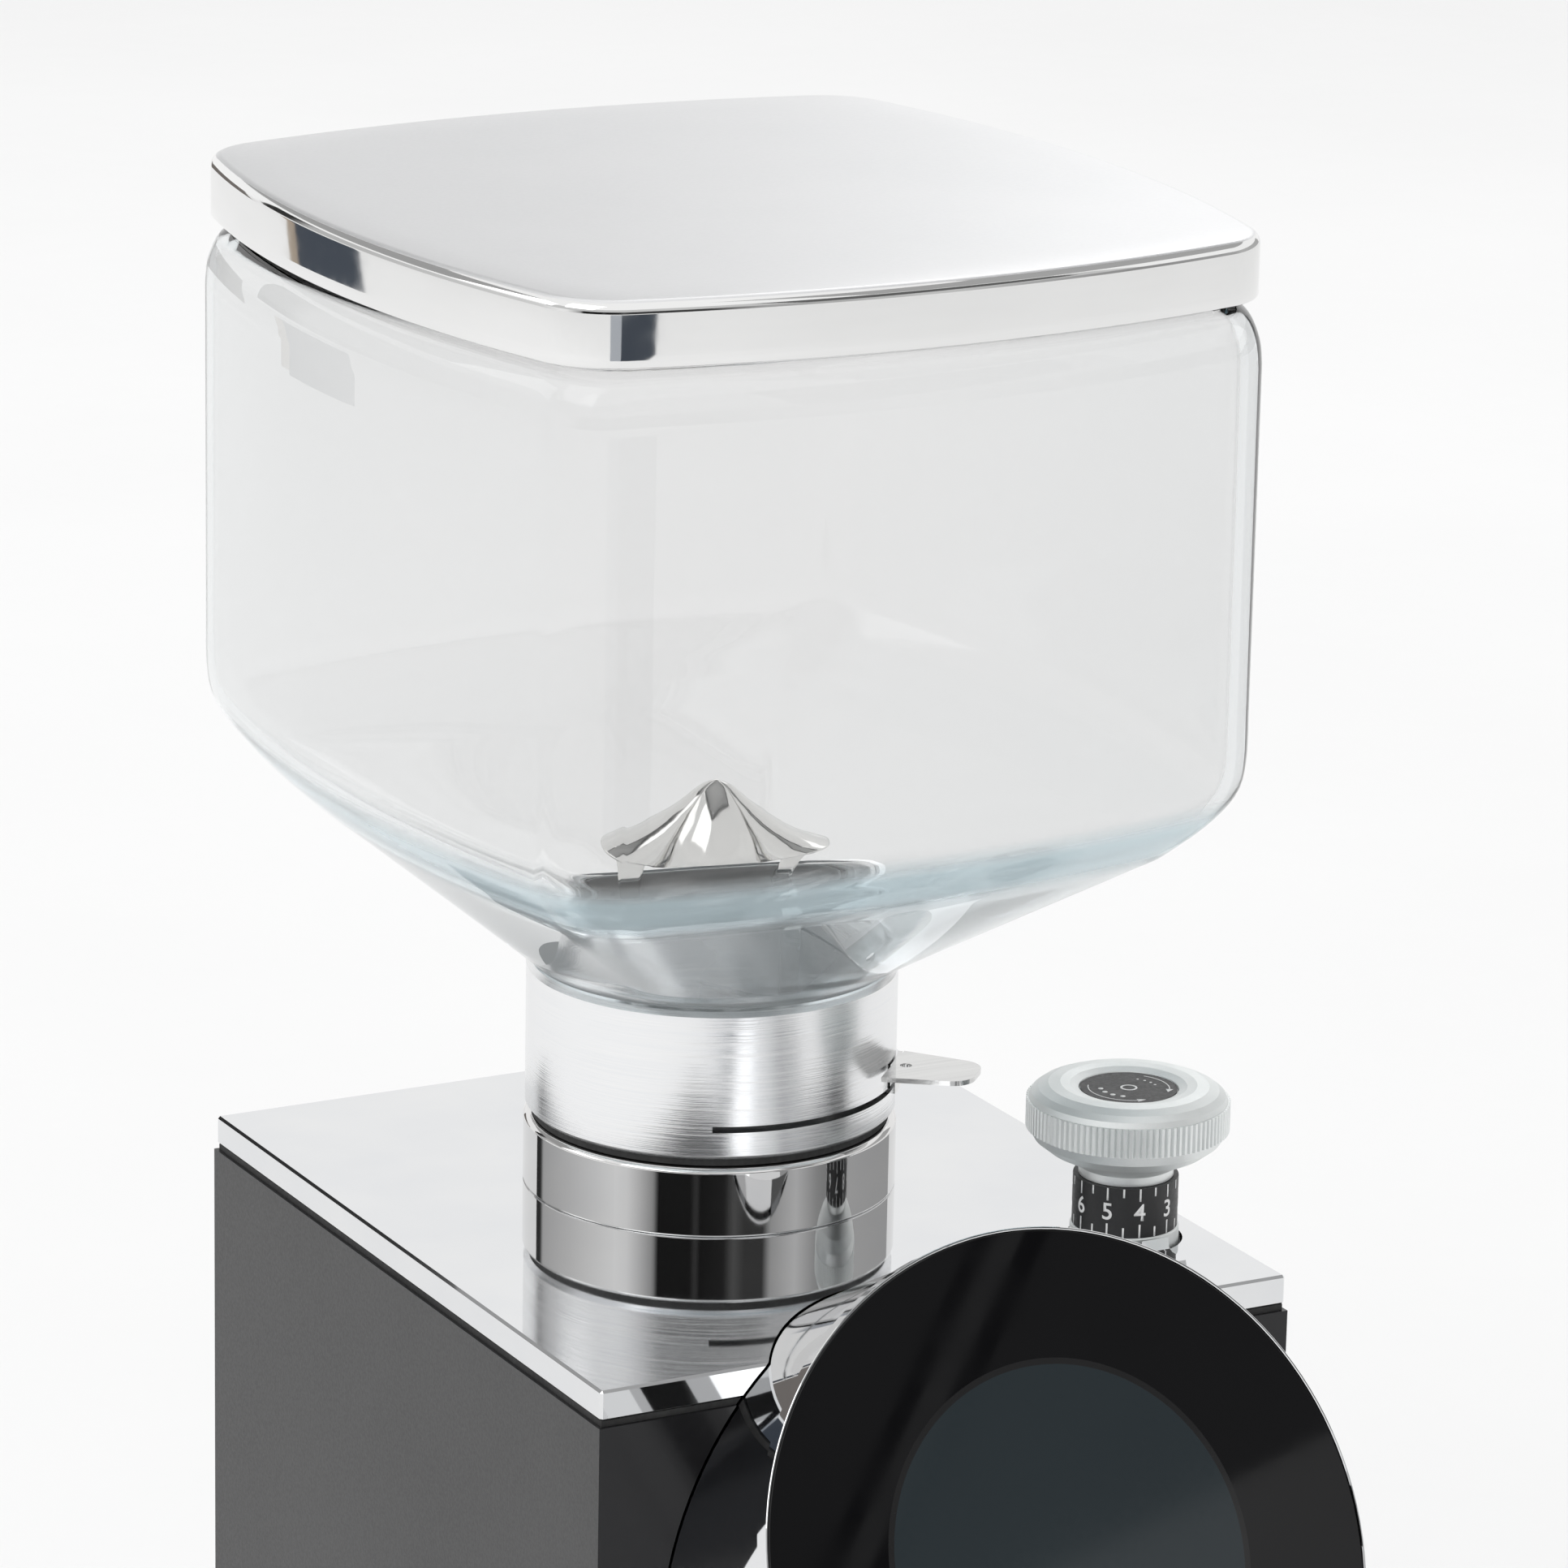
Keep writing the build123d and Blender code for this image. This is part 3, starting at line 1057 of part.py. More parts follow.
def main():
    os.makedirs("parts", exist_ok=True)
    save("top_plate", make_top_plate())
    save("plate_gasket", make_plate_gasket())
    save("side_panel_left", make_side_panel(-1))
    save("side_panel_right", make_side_panel(1))
    save("front_panel", make_front_panel())
    save("rear_panel", make_rear_panel())
    save("panel_screws", make_panel_screws())
    save("base_pan", make_base_pan())
    save("rubber_feet", make_rubber_feet())
    save("frame_posts", make_frame_posts())
    save("grounds_tray", make_grounds_tray())
    save("display_drum", make_display_drum())
    save("panel_rim", make_panel_rim())
    save("panel_glass", make_panel_glass())
    save("panel_mask", make_panel_mask())
    save("display_module", make_display_module())
    save("base_ring", make_base_ring())
    save("hopper_collar", make_hopper_collar())
    save("collar_gasket", make_collar_gasket())
    save("shutter_gate", make_shutter_gate())
    save("glass_hopper", make_glass_hopper())
    save("hopper_lid", make_hopper_lid())
    save("lid_seal", make_lid_seal())
    save("bean_guide", make_bean_guide())
    save("adjust_knob", make_adjust_knob())
    save("knob_label", make_knob_label())
    save("scale_sleeve", make_scale_sleeve())
    save("dial_flange", make_dial_flange())
    save("gear_bracket", make_gear_bracket())
    save("index_pointer", make_index_pointer())
    save("pinion_spindle", make_pinion_spindle())
    save("idler_gear", make_idler_gear())
    save("adjusting_ring", make_adjusting_ring())
    save("burr_holder", make_burr_holder())
    save("upper_burr", burr_solid(UPPER_BURR_TOP, UPPER_BURR_BOTTOM))
    save("upper_burr_screws", burr_screws(UPPER_BURR_TOP, UPPER_BURR_BOTTOM))
    save("lower_burr", burr_solid(LOWER_BURR_BOTTOM, LOWER_BURR_TOP))
    save("lower_burr_screws", burr_screws(LOWER_BURR_BOTTOM, LOWER_BURR_TOP))
    save("burr_carrier", make_burr_carrier())
    save("carrier_bolt", make_carrier_bolt())
    save("grind_chamber", make_grind_chamber())
    save("bean_throat", make_bean_throat())
    save("grounds_chute", make_grounds_chute())
    save("spout", make_spout())
    save("motor_plate", make_motor_plate())
    save("motor_can", make_motor_can())
    save("motor_coils", make_motor_coils())
    save("motor_rotor", make_motor_rotor())
    save("motor_shaft", make_motor_shaft())
    save("motor_bearings", make_motor_bearings())
    save("cooling_fan", make_cooling_fan())
    save("motor_capacitor", make_motor_capacitor())
    save("control_board", make_control_board())
    save("portafilter_fork", make_portafilter_fork())
    save("socket_screws", group([make_chamber_screws(), make_fork_screws()]))
    save("start_button", make_start_button())
    save("button_switch", make_button_switch())
    save("switch_frame", make_switch_frame())
    save("rocker_switch", make_rocker_switch())
    save("mains_inlet", make_mains_inlet())


main()
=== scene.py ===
import math

import bmesh
import bpy
from mathutils import Matrix, Vector


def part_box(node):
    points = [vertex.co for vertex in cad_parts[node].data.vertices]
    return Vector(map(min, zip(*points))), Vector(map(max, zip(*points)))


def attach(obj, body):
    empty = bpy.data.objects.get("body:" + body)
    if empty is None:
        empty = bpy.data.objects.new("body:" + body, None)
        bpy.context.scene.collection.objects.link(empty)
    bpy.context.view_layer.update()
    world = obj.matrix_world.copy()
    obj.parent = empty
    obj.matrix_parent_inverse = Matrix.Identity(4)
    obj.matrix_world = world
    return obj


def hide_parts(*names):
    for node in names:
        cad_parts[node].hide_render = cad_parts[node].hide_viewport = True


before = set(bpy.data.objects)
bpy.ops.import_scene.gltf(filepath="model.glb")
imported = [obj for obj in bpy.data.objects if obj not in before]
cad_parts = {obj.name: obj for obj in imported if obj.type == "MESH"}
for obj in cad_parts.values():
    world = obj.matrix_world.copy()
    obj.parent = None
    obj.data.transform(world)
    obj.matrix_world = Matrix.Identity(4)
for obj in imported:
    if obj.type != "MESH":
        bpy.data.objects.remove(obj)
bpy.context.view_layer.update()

# A burr coffee grinder on a pale studio floor. Metres, +Z up, front faces -Y.
MM = 0.001


# ---- places and sizes ------------------------------------------------------
def middle(node):
    """Middle of a CAD node's box."""
    low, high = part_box(node)
    return (low + high) / 2


def on_plate(node):
    """The point on the top plate's face under the middle of a node."""
    axis = middle(node)
    return Vector((axis.x, axis.y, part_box("top_plate")[1].z))


GRIND_PLACE = on_plate("base_ring")
DIAL_PLACE = on_plate("scale_sleeve")
GLASS_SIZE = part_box("glass_hopper")[1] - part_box("glass_hopper")[0]
PANEL_TILT = math.radians(28.2)
# millimetres: where the collar's pale bore ends, and the height of its middle above the plate
COLLAR_BORE = 33.0
COLLAR_MIDDLE = 38.0


# ---- camera, light and floor ---------------------------------------------
CAMERA_PLACE = Vector((-0.6494, -1.17935, 0.7403))
CAMERA_YAW = math.radians(28.433)      # clockwise from +Y, seen from above
CAMERA_PITCH = math.radians(16.028)    # downwards
CAMERA_ROLL = math.radians(1.15)
CAMERA_LENS = 165.53


def make_camera():
    data = bpy.data.cameras.new("camera")
    data.lens = CAMERA_LENS
    data.sensor_width = 36.0
    data.clip_start = 0.01
    data.clip_end = 60.0
    camera = bpy.data.objects.new("camera", data)
    bpy.context.scene.collection.objects.link(camera)
    turn = Matrix.Rotation(-CAMERA_YAW, 4, "Z")
    turn = turn @ Matrix.Rotation(math.pi / 2 - CAMERA_PITCH, 4, "X")
    turn = turn @ Matrix.Rotation(CAMERA_ROLL, 4, "Z")
    camera.matrix_world = Matrix.Translation(CAMERA_PLACE) @ turn
    bpy.context.scene.camera = camera


def make_world(strength):
    world = bpy.data.worlds.new("studio")
    world.use_nodes = True
    background = world.node_tree.nodes["Background"]
    background.inputs["Color"].default_value = (1.0, 1.0, 1.0, 1.0)
    background.inputs["Strength"].default_value = strength
    bpy.context.scene.world = world


def make_area_light(name, place, target, size, power):
    data = bpy.data.lights.new(name, "AREA")
    data.shape = "RECTANGLE"
    data.size, data.size_y = size
    data.energy = power
    light = bpy.data.objects.new(name, data)
    bpy.context.scene.collection.objects.link(light)
    aim = Vector(target) - Vector(place)
    light.matrix_world = Matrix.Translation(place) @ aim.to_track_quat("-Z", "Y").to_matrix().to_4x4()


def make_stage_mesh(name, vertices, faces, material):
    mesh = bpy.data.meshes.new(name)
    mesh.from_pydata(vertices, [], faces)
    mesh.materials.append(material)
    stage = bpy.data.objects.new(name, mesh)
    bpy.context.scene.collection.objects.link(stage)
    return stage


def glow_material(name, level, colour=(1.0, 1.0, 1.0)):
    material = bpy.data.materials.new(name)
    material.use_nodes = True
    nodes = material.node_tree.nodes
    nodes.clear()
    links = material.node_tree.links
    output = nodes.new("ShaderNodeOutputMaterial")
    glow = nodes.new("ShaderNodeEmission")
    if isinstance(level, (int, float)):
        glow.inputs["Color"].default_value = (*[level * share for share in colour], 1.0)
    else:
        links.new(azimuth_ramp(nodes, links, level), glow.inputs["Color"])
    # light that has passed through the clear glass doesn't meet the cards
    path = nodes.new("ShaderNodeLightPath")
    clear = nodes.new("ShaderNodeBsdfTransparent")
    passed = nodes.new("ShaderNodeMath")
    passed.operation = "MINIMUM"
    passed.inputs[1].default_value = 1.0
    mix = nodes.new("ShaderNodeMixShader")
    links.new(path.outputs["Transmission Depth"], passed.inputs[0])
    links.new(passed.outputs[0], mix.inputs["Fac"])
    links.new(glow.outputs[0], mix.inputs[1])
    links.new(clear.outputs[0], mix.inputs[2])
    links.new(mix.outputs[0], output.inputs["Surface"])
    return material


def azimuth_ramp(nodes, links, levels):
    """Brightness by azimuth from +X, in degrees from -180 to 180."""
    place = nodes.new("ShaderNodeTexCoord")
    around = nodes.new("ShaderNodeTexGradient")
    around.gradient_type = "RADIAL"
    ramp = nodes.new("ShaderNodeValToRGB")
    links.new(place.outputs["Object"], around.inputs["Vector"])
    links.new(around.outputs["Fac"], ramp.inputs["Fac"])
    set_stops(ramp, [((azimuth + 180.0) / 360.0, brightness) for azimuth, brightness in sorted(levels)])
    return ramp.outputs["Color"]


def set_stops(ramp, stops):
    """Fills a colour ramp with greys at positions from 0 to 1."""
    elements = ramp.color_ramp.elements
    while len(elements) < len(stops):
        elements.new(0.5)
    for element, (position, grey) in zip(elements, stops):
        element.position = position
        element.color = (grey, grey, grey, 1.0)


def only_in_reflections(card):
    card.visible_camera = False
    card.visible_diffuse = False
    card.visible_shadow = False
    card.visible_transmission = False
    card.visible_volume_scatter = False


def make_card(name, centre, right, up, outline, level):
    """A studio card that only shows in reflections. The outline is in metres along right and up."""
    vertices = [Vector(centre) + Vector(right) * x + Vector(up) * y for x, y in outline]
    card = make_stage_mesh(name, vertices, [range(len(vertices))], glow_material(name, level))
    only_in_reflections(card)


def make_wall(name, distance, azimuths, heights, level, colour=(1.0, 1.0, 1.0)):
    """A curved studio wall about the machine that only shows in reflections.

    Distance and heights are in metres, and azimuths in degrees from +X.
    """
    steps = 24
    start, end = azimuths
    vertices = []
    for index in range(steps + 1):
        angle = math.radians(start + (end - start) * index / steps)
        for height in heights:
            vertices.append((distance * math.cos(angle), distance * math.sin(angle), height))
    faces = [(2 * i, 2 * i + 2, 2 * i + 3, 2 * i + 1) for i in range(steps)]
    wall = make_stage_mesh(name, vertices, faces, glow_material(name, level, colour))
    only_in_reflections(wall)


# ---- materials -------------------------------------------------------------
class Paint:
    """One node material being built: a Principled shader with helpers for its detail."""

    def __init__(self, name, colour, metallic=0.0, roughness=0.5):
        self.material = bpy.data.materials.new(name)
        self.material.use_nodes = True
        self.nodes = self.material.node_tree.nodes
        self.links = self.material.node_tree.links
        self.shader = self.nodes["Principled BSDF"]
        self.set("Base Color", (*colour, 1.0))
        self.set("Metallic", metallic)
        self.set("Roughness", roughness)
        self.place = self.nodes.new("ShaderNodeTexCoord").outputs["Object"]

    def set(self, socket, value):
        self.shader.inputs[socket].default_value = value

    def stretched(self, stretch):
        mapping = self.nodes.new("ShaderNodeMapping")
        mapping.inputs["Scale"].default_value = stretch
        self.links.new(self.place, mapping.inputs["Vector"])
        return mapping.outputs["Vector"]

    def noise(self, scale, detail=3.0, stretch=(1.0, 1.0, 1.0)):
        noise = self.nodes.new("ShaderNodeTexNoise")
        noise.inputs["Scale"].default_value = scale
        noise.inputs["Detail"].default_value = detail
        self.links.new(self.stretched(stretch), noise.inputs["Vector"])
        return noise.outputs["Fac"]

    def cells(self, scale, stretch=(1.0, 1.0, 1.0)):
        cells = self.nodes.new("ShaderNodeTexVoronoi")
        cells.inputs["Scale"].default_value = scale
        self.links.new(self.stretched(stretch), cells.inputs["Vector"])
        return cells.outputs["Distance"]

    def bands(self, scale, direction):
        wave = self.nodes.new("ShaderNodeTexWave")
        wave.bands_direction = direction
        wave.inputs["Scale"].default_value = scale
        self.links.new(self.place, wave.inputs["Vector"])
        return wave.outputs["Fac"]

    def spread(self, source, low, high, start=0.3, end=0.7):
        spread = self.nodes.new("ShaderNodeMapRange")
        spread.inputs["From Min"].default_value = start
        spread.inputs["From Max"].default_value = end
        spread.inputs["To Min"].default_value = low
        spread.inputs["To Max"].default_value = high
        self.links.new(source, spread.inputs["Value"])
        return spread.outputs["Result"]

    def rough(self, source, low, high, start=0.3, end=0.7):
        self.links.new(self.spread(source, low, high, start, end), self.shader.inputs["Roughness"])

    def tint(self, source, first, second, start=0.3, end=0.7):
        ramp = self.nodes.new("ShaderNodeValToRGB")
        ramp.color_ramp.elements[0].position = start
        ramp.color_ramp.elements[0].color = (*first, 1.0)
        ramp.color_ramp.elements[1].position = end
        ramp.color_ramp.elements[1].color = (*second, 1.0)
        self.links.new(source, ramp.inputs["Fac"])
        self.links.new(ramp.outputs["Color"], self.shader.inputs["Base Color"])

    def bump(self, source, strength, depth):
        bump = self.nodes.new("ShaderNodeBump")
        bump.inputs["Strength"].default_value = strength
        bump.inputs["Distance"].default_value = depth
        self.links.new(source, bump.inputs["Height"])
        self.links.new(bump.outputs["Normal"], self.shader.inputs["Normal"])

    def base(self):
        """The socket that now feeds the base colour."""
        return self.shader.inputs["Base Color"].links[0].from_socket

    def mix_base(self, share, first, second):
        """Sets the base colour between two, each a plain colour or a socket."""
        mix = self.nodes.new("ShaderNodeMix")
        mix.data_type = "RGBA"
        self.links.new(share, mix.inputs[0])
        for slot, colour in ((mix.inputs[6], first), (mix.inputs[7], second)):
            if isinstance(colour, tuple):
                slot.default_value = (*colour, 1.0)
            else:
                self.links.new(colour, slot)
        self.links.new(mix.outputs[2], self.shader.inputs["Base Color"])

    def vector_step(self, operation, source, value=None):
        step = self.nodes.new("ShaderNodeVectorMath")
        step.operation = operation
        self.links.new(source, step.inputs[0])
        if value is not None:
            step.inputs[1].default_value = value
        return step

    def rise(self, source):
        """The upright part of a vector."""
        split = self.nodes.new("ShaderNodeSeparateXYZ")
        self.links.new(source, split.inputs[0])
        return split.outputs["Z"]

    def pale_within(self, place, radius, colour, flatness=0.6):
        """Within a drawn-out sphere about a place, the metal gives way to a pale lacquer."""
        away = self.vector_step("SUBTRACT", self.place, place)
        drawn_out = self.vector_step("MULTIPLY", away.outputs["Vector"], (1.0, 1.0, flatness))
        length = self.vector_step("LENGTH", drawn_out.outputs["Vector"])
        metal = self.nodes.new("ShaderNodeMath")
        metal.operation = "GREATER_THAN"
        metal.inputs[1].default_value = radius
        self.links.new(length.outputs["Value"], metal.inputs[0])
        self.mix_base(metal.outputs[0], colour, self.base())
        self.links.new(metal.outputs[0], self.shader.inputs["Metallic"])

    def deepen(self, stations, colour, clearness):
        """By height, a bluish and less clear colour painted on faces that look down, seen from the near
        side: painted light that stands in for the light in the glass's thick bend.
        """
        low, high = stations[0][0], stations[-1][0]
        ramp = self.nodes.new("ShaderNodeValToRGB")
        set_stops(ramp, [((height - low) / (high - low), share) for height, share in stations])
        self.links.new(self.spread(self.rise(self.place), 0.0, 1.0, low, high), ramp.inputs["Fac"])
        normal = self.nodes.new("ShaderNodeNewGeometry").outputs["Normal"]
        share = self.nodes.new("ShaderNodeMath")
        share.operation = "MULTIPLY"
        self.links.new(ramp.outputs["Color"], share.inputs[0])
        self.links.new(self.spread(self.rise(normal), 1.0, 0.0, *LOOKS_DOWN), share.inputs[1])
        # painted light: the heel colour is mixed in, and the glass is less clear there
        self.mix_base(share.outputs[0], self.base(), colour)
        clear = self.spread(share.outputs[0], 1.0, clearness, 0.0, 1.0)
        self.links.new(clear, self.shader.inputs["Transmission Weight"])

    def brushed(self, amount):
        """Highlights drawn out as on a turned piece."""
        tangent = self.nodes.new("ShaderNodeTangent")
        tangent.direction_type = "RADIAL"
        tangent.axis = "Z"
        self.links.new(tangent.outputs["Tangent"], self.shader.inputs["Tangent"])
        self.set("Anisotropic", amount)


def chrome():
    paint = Paint("chrome", (0.76, 0.77, 0.78), 1.0, 0.04)
    paint.tint(paint.noise(40.0), (0.74, 0.75, 0.765), (0.78, 0.785, 0.79))
    paint.rough(paint.noise(60.0, 6.0), 0.02, 0.05)
    paint.bump(paint.noise(9.0, 2.0), 0.06, 0.002)
    return paint.material


def turned_aluminium():
    """Bright turned metal outside, pale lacquer in the bore."""
    paint = Paint("turned_aluminium", (0.86, 0.86, 0.87), 1.0, 0.2)
    lines = paint.noise(26.0, 8.0, (1.0, 1.0, 150.0))
    paint.tint(lines, (0.82, 0.83, 0.845), (0.90, 0.90, 0.90))
    paint.rough(lines, 0.14, 0.26)
    paint.bump(lines, 0.12, 0.0002)
    paint.brushed(0.75)
    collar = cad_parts["hopper_collar"]
    bore_middle = GRIND_PLACE + Vector((0, 0, COLLAR_MIDDLE * MM))
    paint.pale_within(collar.matrix_world.inverted() @ bore_middle, COLLAR_BORE * MM, (0.9, 0.9, 0.9))
    return paint.material


def satin_aluminium():
    paint = Paint("satin_aluminium", (0.8, 0.805, 0.81), 1.0, 0.34)
    grain = paint.noise(1400.0, 3.0)
    paint.tint(paint.noise(14.0), (0.775, 0.78, 0.788), (0.81, 0.812, 0.818))
    paint.rough(grain, 0.30, 0.38)
    paint.bump(grain, 0.05, 0.0001)
    return paint.material


def polished_aluminium():
    paint = Paint("polished_aluminium", (0.84, 0.84, 0.835), 1.0, 0.05)
    paint.tint(paint.noise(18.0), (0.82, 0.82, 0.815), (0.86, 0.86, 0.855))
    paint.rough(paint.noise(220.0, 5.0), 0.03, 0.075)
    paint.bump(paint.noise(55.0, 3.0), 0.05, 0.0006)
    return paint.material


def anodised(name, low, high):
    paint = Paint(name, low, 1.0, 0.34)
    grain = paint.noise(2600.0, 2.0)
    paint.tint(paint.noise(120.0), low, high)
    paint.rough(grain, 0.44, 0.56)
    paint.bump(grain, 0.12, 0.0001)
    return paint.material


def stainless(name="stainless", scale=30.0, low=0.12, high=0.24):
    paint = Paint(name, (0.66, 0.66, 0.655), 1.0, low)
    lines = paint.noise(scale, 8.0, (1.0, 40.0, 40.0))
    paint.tint(lines, (0.62, 0.62, 0.615), (0.7, 0.7, 0.69))
    paint.rough(lines, low, high)
    paint.bump(lines, 0.06, 0.0002)
    return paint.material


def black_lacquer():
    paint = Paint("black_lacquer", (0.012, 0.012, 0.013), 0.0, 0.1)
    paint.tint(paint.noise(20.0), (0.011, 0.011, 0.012), (0.014, 0.014, 0.015))
    paint.rough(paint.noise(500.0, 4.0), 0.1, 0.15)
    paint.bump(paint.noise(700.0, 2.0), 0.03, 0.0002)
    paint.set("Specular IOR Level", 0.36)
    return paint.material


def powder_coat():
    paint = Paint("powder_coat", (0.02, 0.02, 0.021), 0.0, 0.4)
    paint.tint(paint.noise(25.0), (0.018, 0.018, 0.019), (0.024, 0.024, 0.025))
    paint.rough(paint.noise(1500.0, 2.0), 0.34, 0.44)
    paint.bump(paint.noise(1800.0, 2.0), 0.15, 0.0001)
    return paint.material


def plastic(name, low, high, roughness=0.45):
    paint = Paint(name, low, 0.0, roughness)
    scale = 1500.0
    paint.tint(paint.noise(60.0), low, high)
    paint.rough(paint.noise(scale, 3.0), roughness - 0.06, roughness + 0.08)
    paint.bump(paint.noise(scale, 2.0), 0.12, 0.0001)
    return paint.material


def rubber():
    paint = Paint("rubber", (0.02, 0.02, 0.02), 0.0, 0.8)
    paint.tint(paint.noise(90.0), (0.016, 0.016, 0.016), (0.03, 0.03, 0.03))
    paint.rough(paint.noise(900.0), 0.7, 0.9)
    paint.bump(paint.cells(1200.0), 0.2, 0.0002)
    return paint.material


def cast_metal(name, low, high, roughness=0.5):
    paint = Paint(name, low, 1.0, roughness)
    paint.tint(paint.noise(80.0), low, high)
    paint.rough(paint.noise(400.0, 4.0), roughness - 0.08, roughness + 0.1)
    paint.bump(paint.noise(600.0, 5.0), 0.35, 0.0003)
    return paint.material


def machined(name, low, high, roughness=0.22):
    paint = Paint(name, low, 1.0, roughness)
    lines = paint.noise(60.0, 6.0, (1.0, 1.0, 30.0))
    paint.tint(lines, low, high)
    paint.rough(lines, roughness - 0.05, roughness + 0.08)
    paint.bump(lines, 0.08, 0.0001)
    return paint.material


def laminations(name, low, high, axis):
    paint = Paint(name, low, 1.0, 0.45)
    sheets = paint.bands(300.0, axis)
    paint.tint(sheets, low, high)
    paint.rough(sheets, 0.4, 0.55)
    paint.bump(sheets, 0.4, 0.0002)
    return paint.material


def circuit_board():
    paint = Paint("circuit_board", (0.02, 0.16, 0.06), 0.0, 0.35)
    paint.tint(paint.cells(320.0, (1.0, 1.0, 0.4)), (0.015, 0.11, 0.04), (0.04, 0.24, 0.10), 0.1, 0.5)
    paint.rough(paint.noise(400.0), 0.28, 0.45)
    paint.bump(paint.cells(320.0), 0.3, 0.0003)
    return paint.material


# share of the painted heel light by height in millimetres above the plate: a bluish, less clear colour that
# stands in for the light in the thick bend
HEEL_PAINTED_LIGHT_SHARE = ((48.0, 0.42), (68.0, 0.48), (78.0, 0.48), (82.5, 1.0), (88.0, 1.0), (93.0, 0.0))
HEEL_PAINTED_LIGHT_COLOUR = (0.72, 0.84, 0.885)
HEEL_PAINTED_LIGHT_CLEARNESS = 0.56
# rise of the normal where the painted heel light is full, and where it ends
LOOKS_DOWN = (-0.4, -0.04)


def clear_glass():
    """Clear glass, with painted light at the heel: a bluish, less clear colour that stands in for the light
    in its thick bend.
    """
    paint = Paint("clear_glass", (0.91, 0.9, 0.897), 0.0, 0.0)
    paint.set("IOR", 1.45)
    paint.set("Transmission Weight", 1.0)
    paint.tint(paint.noise(12.0), (0.906, 0.896, 0.893), (0.916, 0.904, 0.901))
    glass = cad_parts["glass_hopper"]
    plate = (glass.matrix_world.inverted() @ GRIND_PLACE).z
    stations = [(plate + height * MM, share) for height, share in HEEL_PAINTED_LIGHT_SHARE]
    # painted light on the heel, in place of the light that the thick bend gathers
    paint.deepen(stations, HEEL_PAINTED_LIGHT_COLOUR, HEEL_PAINTED_LIGHT_CLEARNESS)
    paint.rough(paint.noise(30.0), 0.0, 0.008)
    paint.bump(paint.noise(11.0, 2.0), 0.08, 0.002)
    tint = paint.nodes.new("ShaderNodeVolumeAbsorption")
    tint.inputs["Color"].default_value = (0.4, 0.74, 0.82, 1.0)
    tint.inputs["Density"].default_value = 9.0
    paint.links.new(tint.outputs["Volume"], paint.nodes["Material Output"].inputs["Volume"])
    return paint.material


def pale_lacquer():
    paint = Paint("pale_lacquer", (0.9, 0.9, 0.9), 0.0, 0.5)
    paint.tint(paint.noise(25.0), (0.88, 0.88, 0.88), (0.93, 0.93, 0.93))
    paint.rough(paint.noise(500.0), 0.42, 0.56)
    return paint.material


def ring_chrome():
    paint = Paint("ring_chrome", (0.73, 0.725, 0.72), 1.0, 0.03)
    paint.tint(paint.noise(30.0), (0.71, 0.705, 0.70), (0.75, 0.745, 0.74))
    paint.rough(paint.noise(50.0, 6.0), 0.015, 0.04)
    paint.bump(paint.noise(26.0, 2.0, (1.0, 1.0, 0.25)), 0.05, 0.0012)
    return paint.material


def polished_sheet():
    paint = Paint("polished_sheet", (0.74, 0.735, 0.72), 1.0, 0.06)
    paint.tint(paint.noise(30.0), (0.71, 0.705, 0.69), (0.77, 0.765, 0.75))
    paint.rough(paint.noise(260.0, 5.0), 0.05, 0.11)
    paint.bump(paint.noise(120.0, 3.0), 0.08, 0.0005)
    return paint.material


def white_ink():
    paint = Paint("white_ink", (0.86, 0.86, 0.86), 0.0, 0.5)
    paint.tint(paint.noise(900.0), (0.78, 0.78, 0.78), (0.9, 0.9, 0.9))
    paint.rough(paint.noise(2500.0), 0.4, 0.6)
    return paint.material


def panel_print():
    """The round panel's glass with black print behind it."""
    paint = Paint("panel_print", (0.004, 0.004, 0.0045), 0.0, 0.03)
    paint.set("IOR", 1.5)
    paint.tint(paint.noise(14.0), (0.0035, 0.0035, 0.004), (0.005, 0.005, 0.0056))
    paint.rough(paint.noise(90.0), 0.02, 0.045)
    return paint.material


def screen():
    paint = Paint("screen", (0.02, 0.027, 0.031), 0.0, 0.06)
    paint.tint(paint.noise(9.0), (0.0185, 0.025, 0.029), (0.0215, 0.029, 0.033))
    paint.rough(paint.noise(900.0), 0.05, 0.08)
    return paint.material


def screen_border():
    paint = Paint("screen_border", (0.014, 0.014, 0.0145), 0.0, 0.08)
    paint.tint(paint.noise(30.0), (0.013, 0.013, 0.0135), (0.016, 0.016, 0.0165))
    paint.rough(paint.noise(300.0), 0.06, 0.1)
    return paint.material


def clear_plastic(name="clear_plastic", tone=0.97):
    paint = Paint(name, (tone, tone, tone), 0.0, 0.1)
    paint.set("IOR", 1.3)
    paint.set("Transmission Weight", 1.0)
    paint.tint(paint.noise(50.0), (tone - 0.02, tone - 0.02, tone - 0.02), (tone, tone, tone))
    paint.rough(paint.noise(400.0), 0.05, 0.12)
    return paint.material


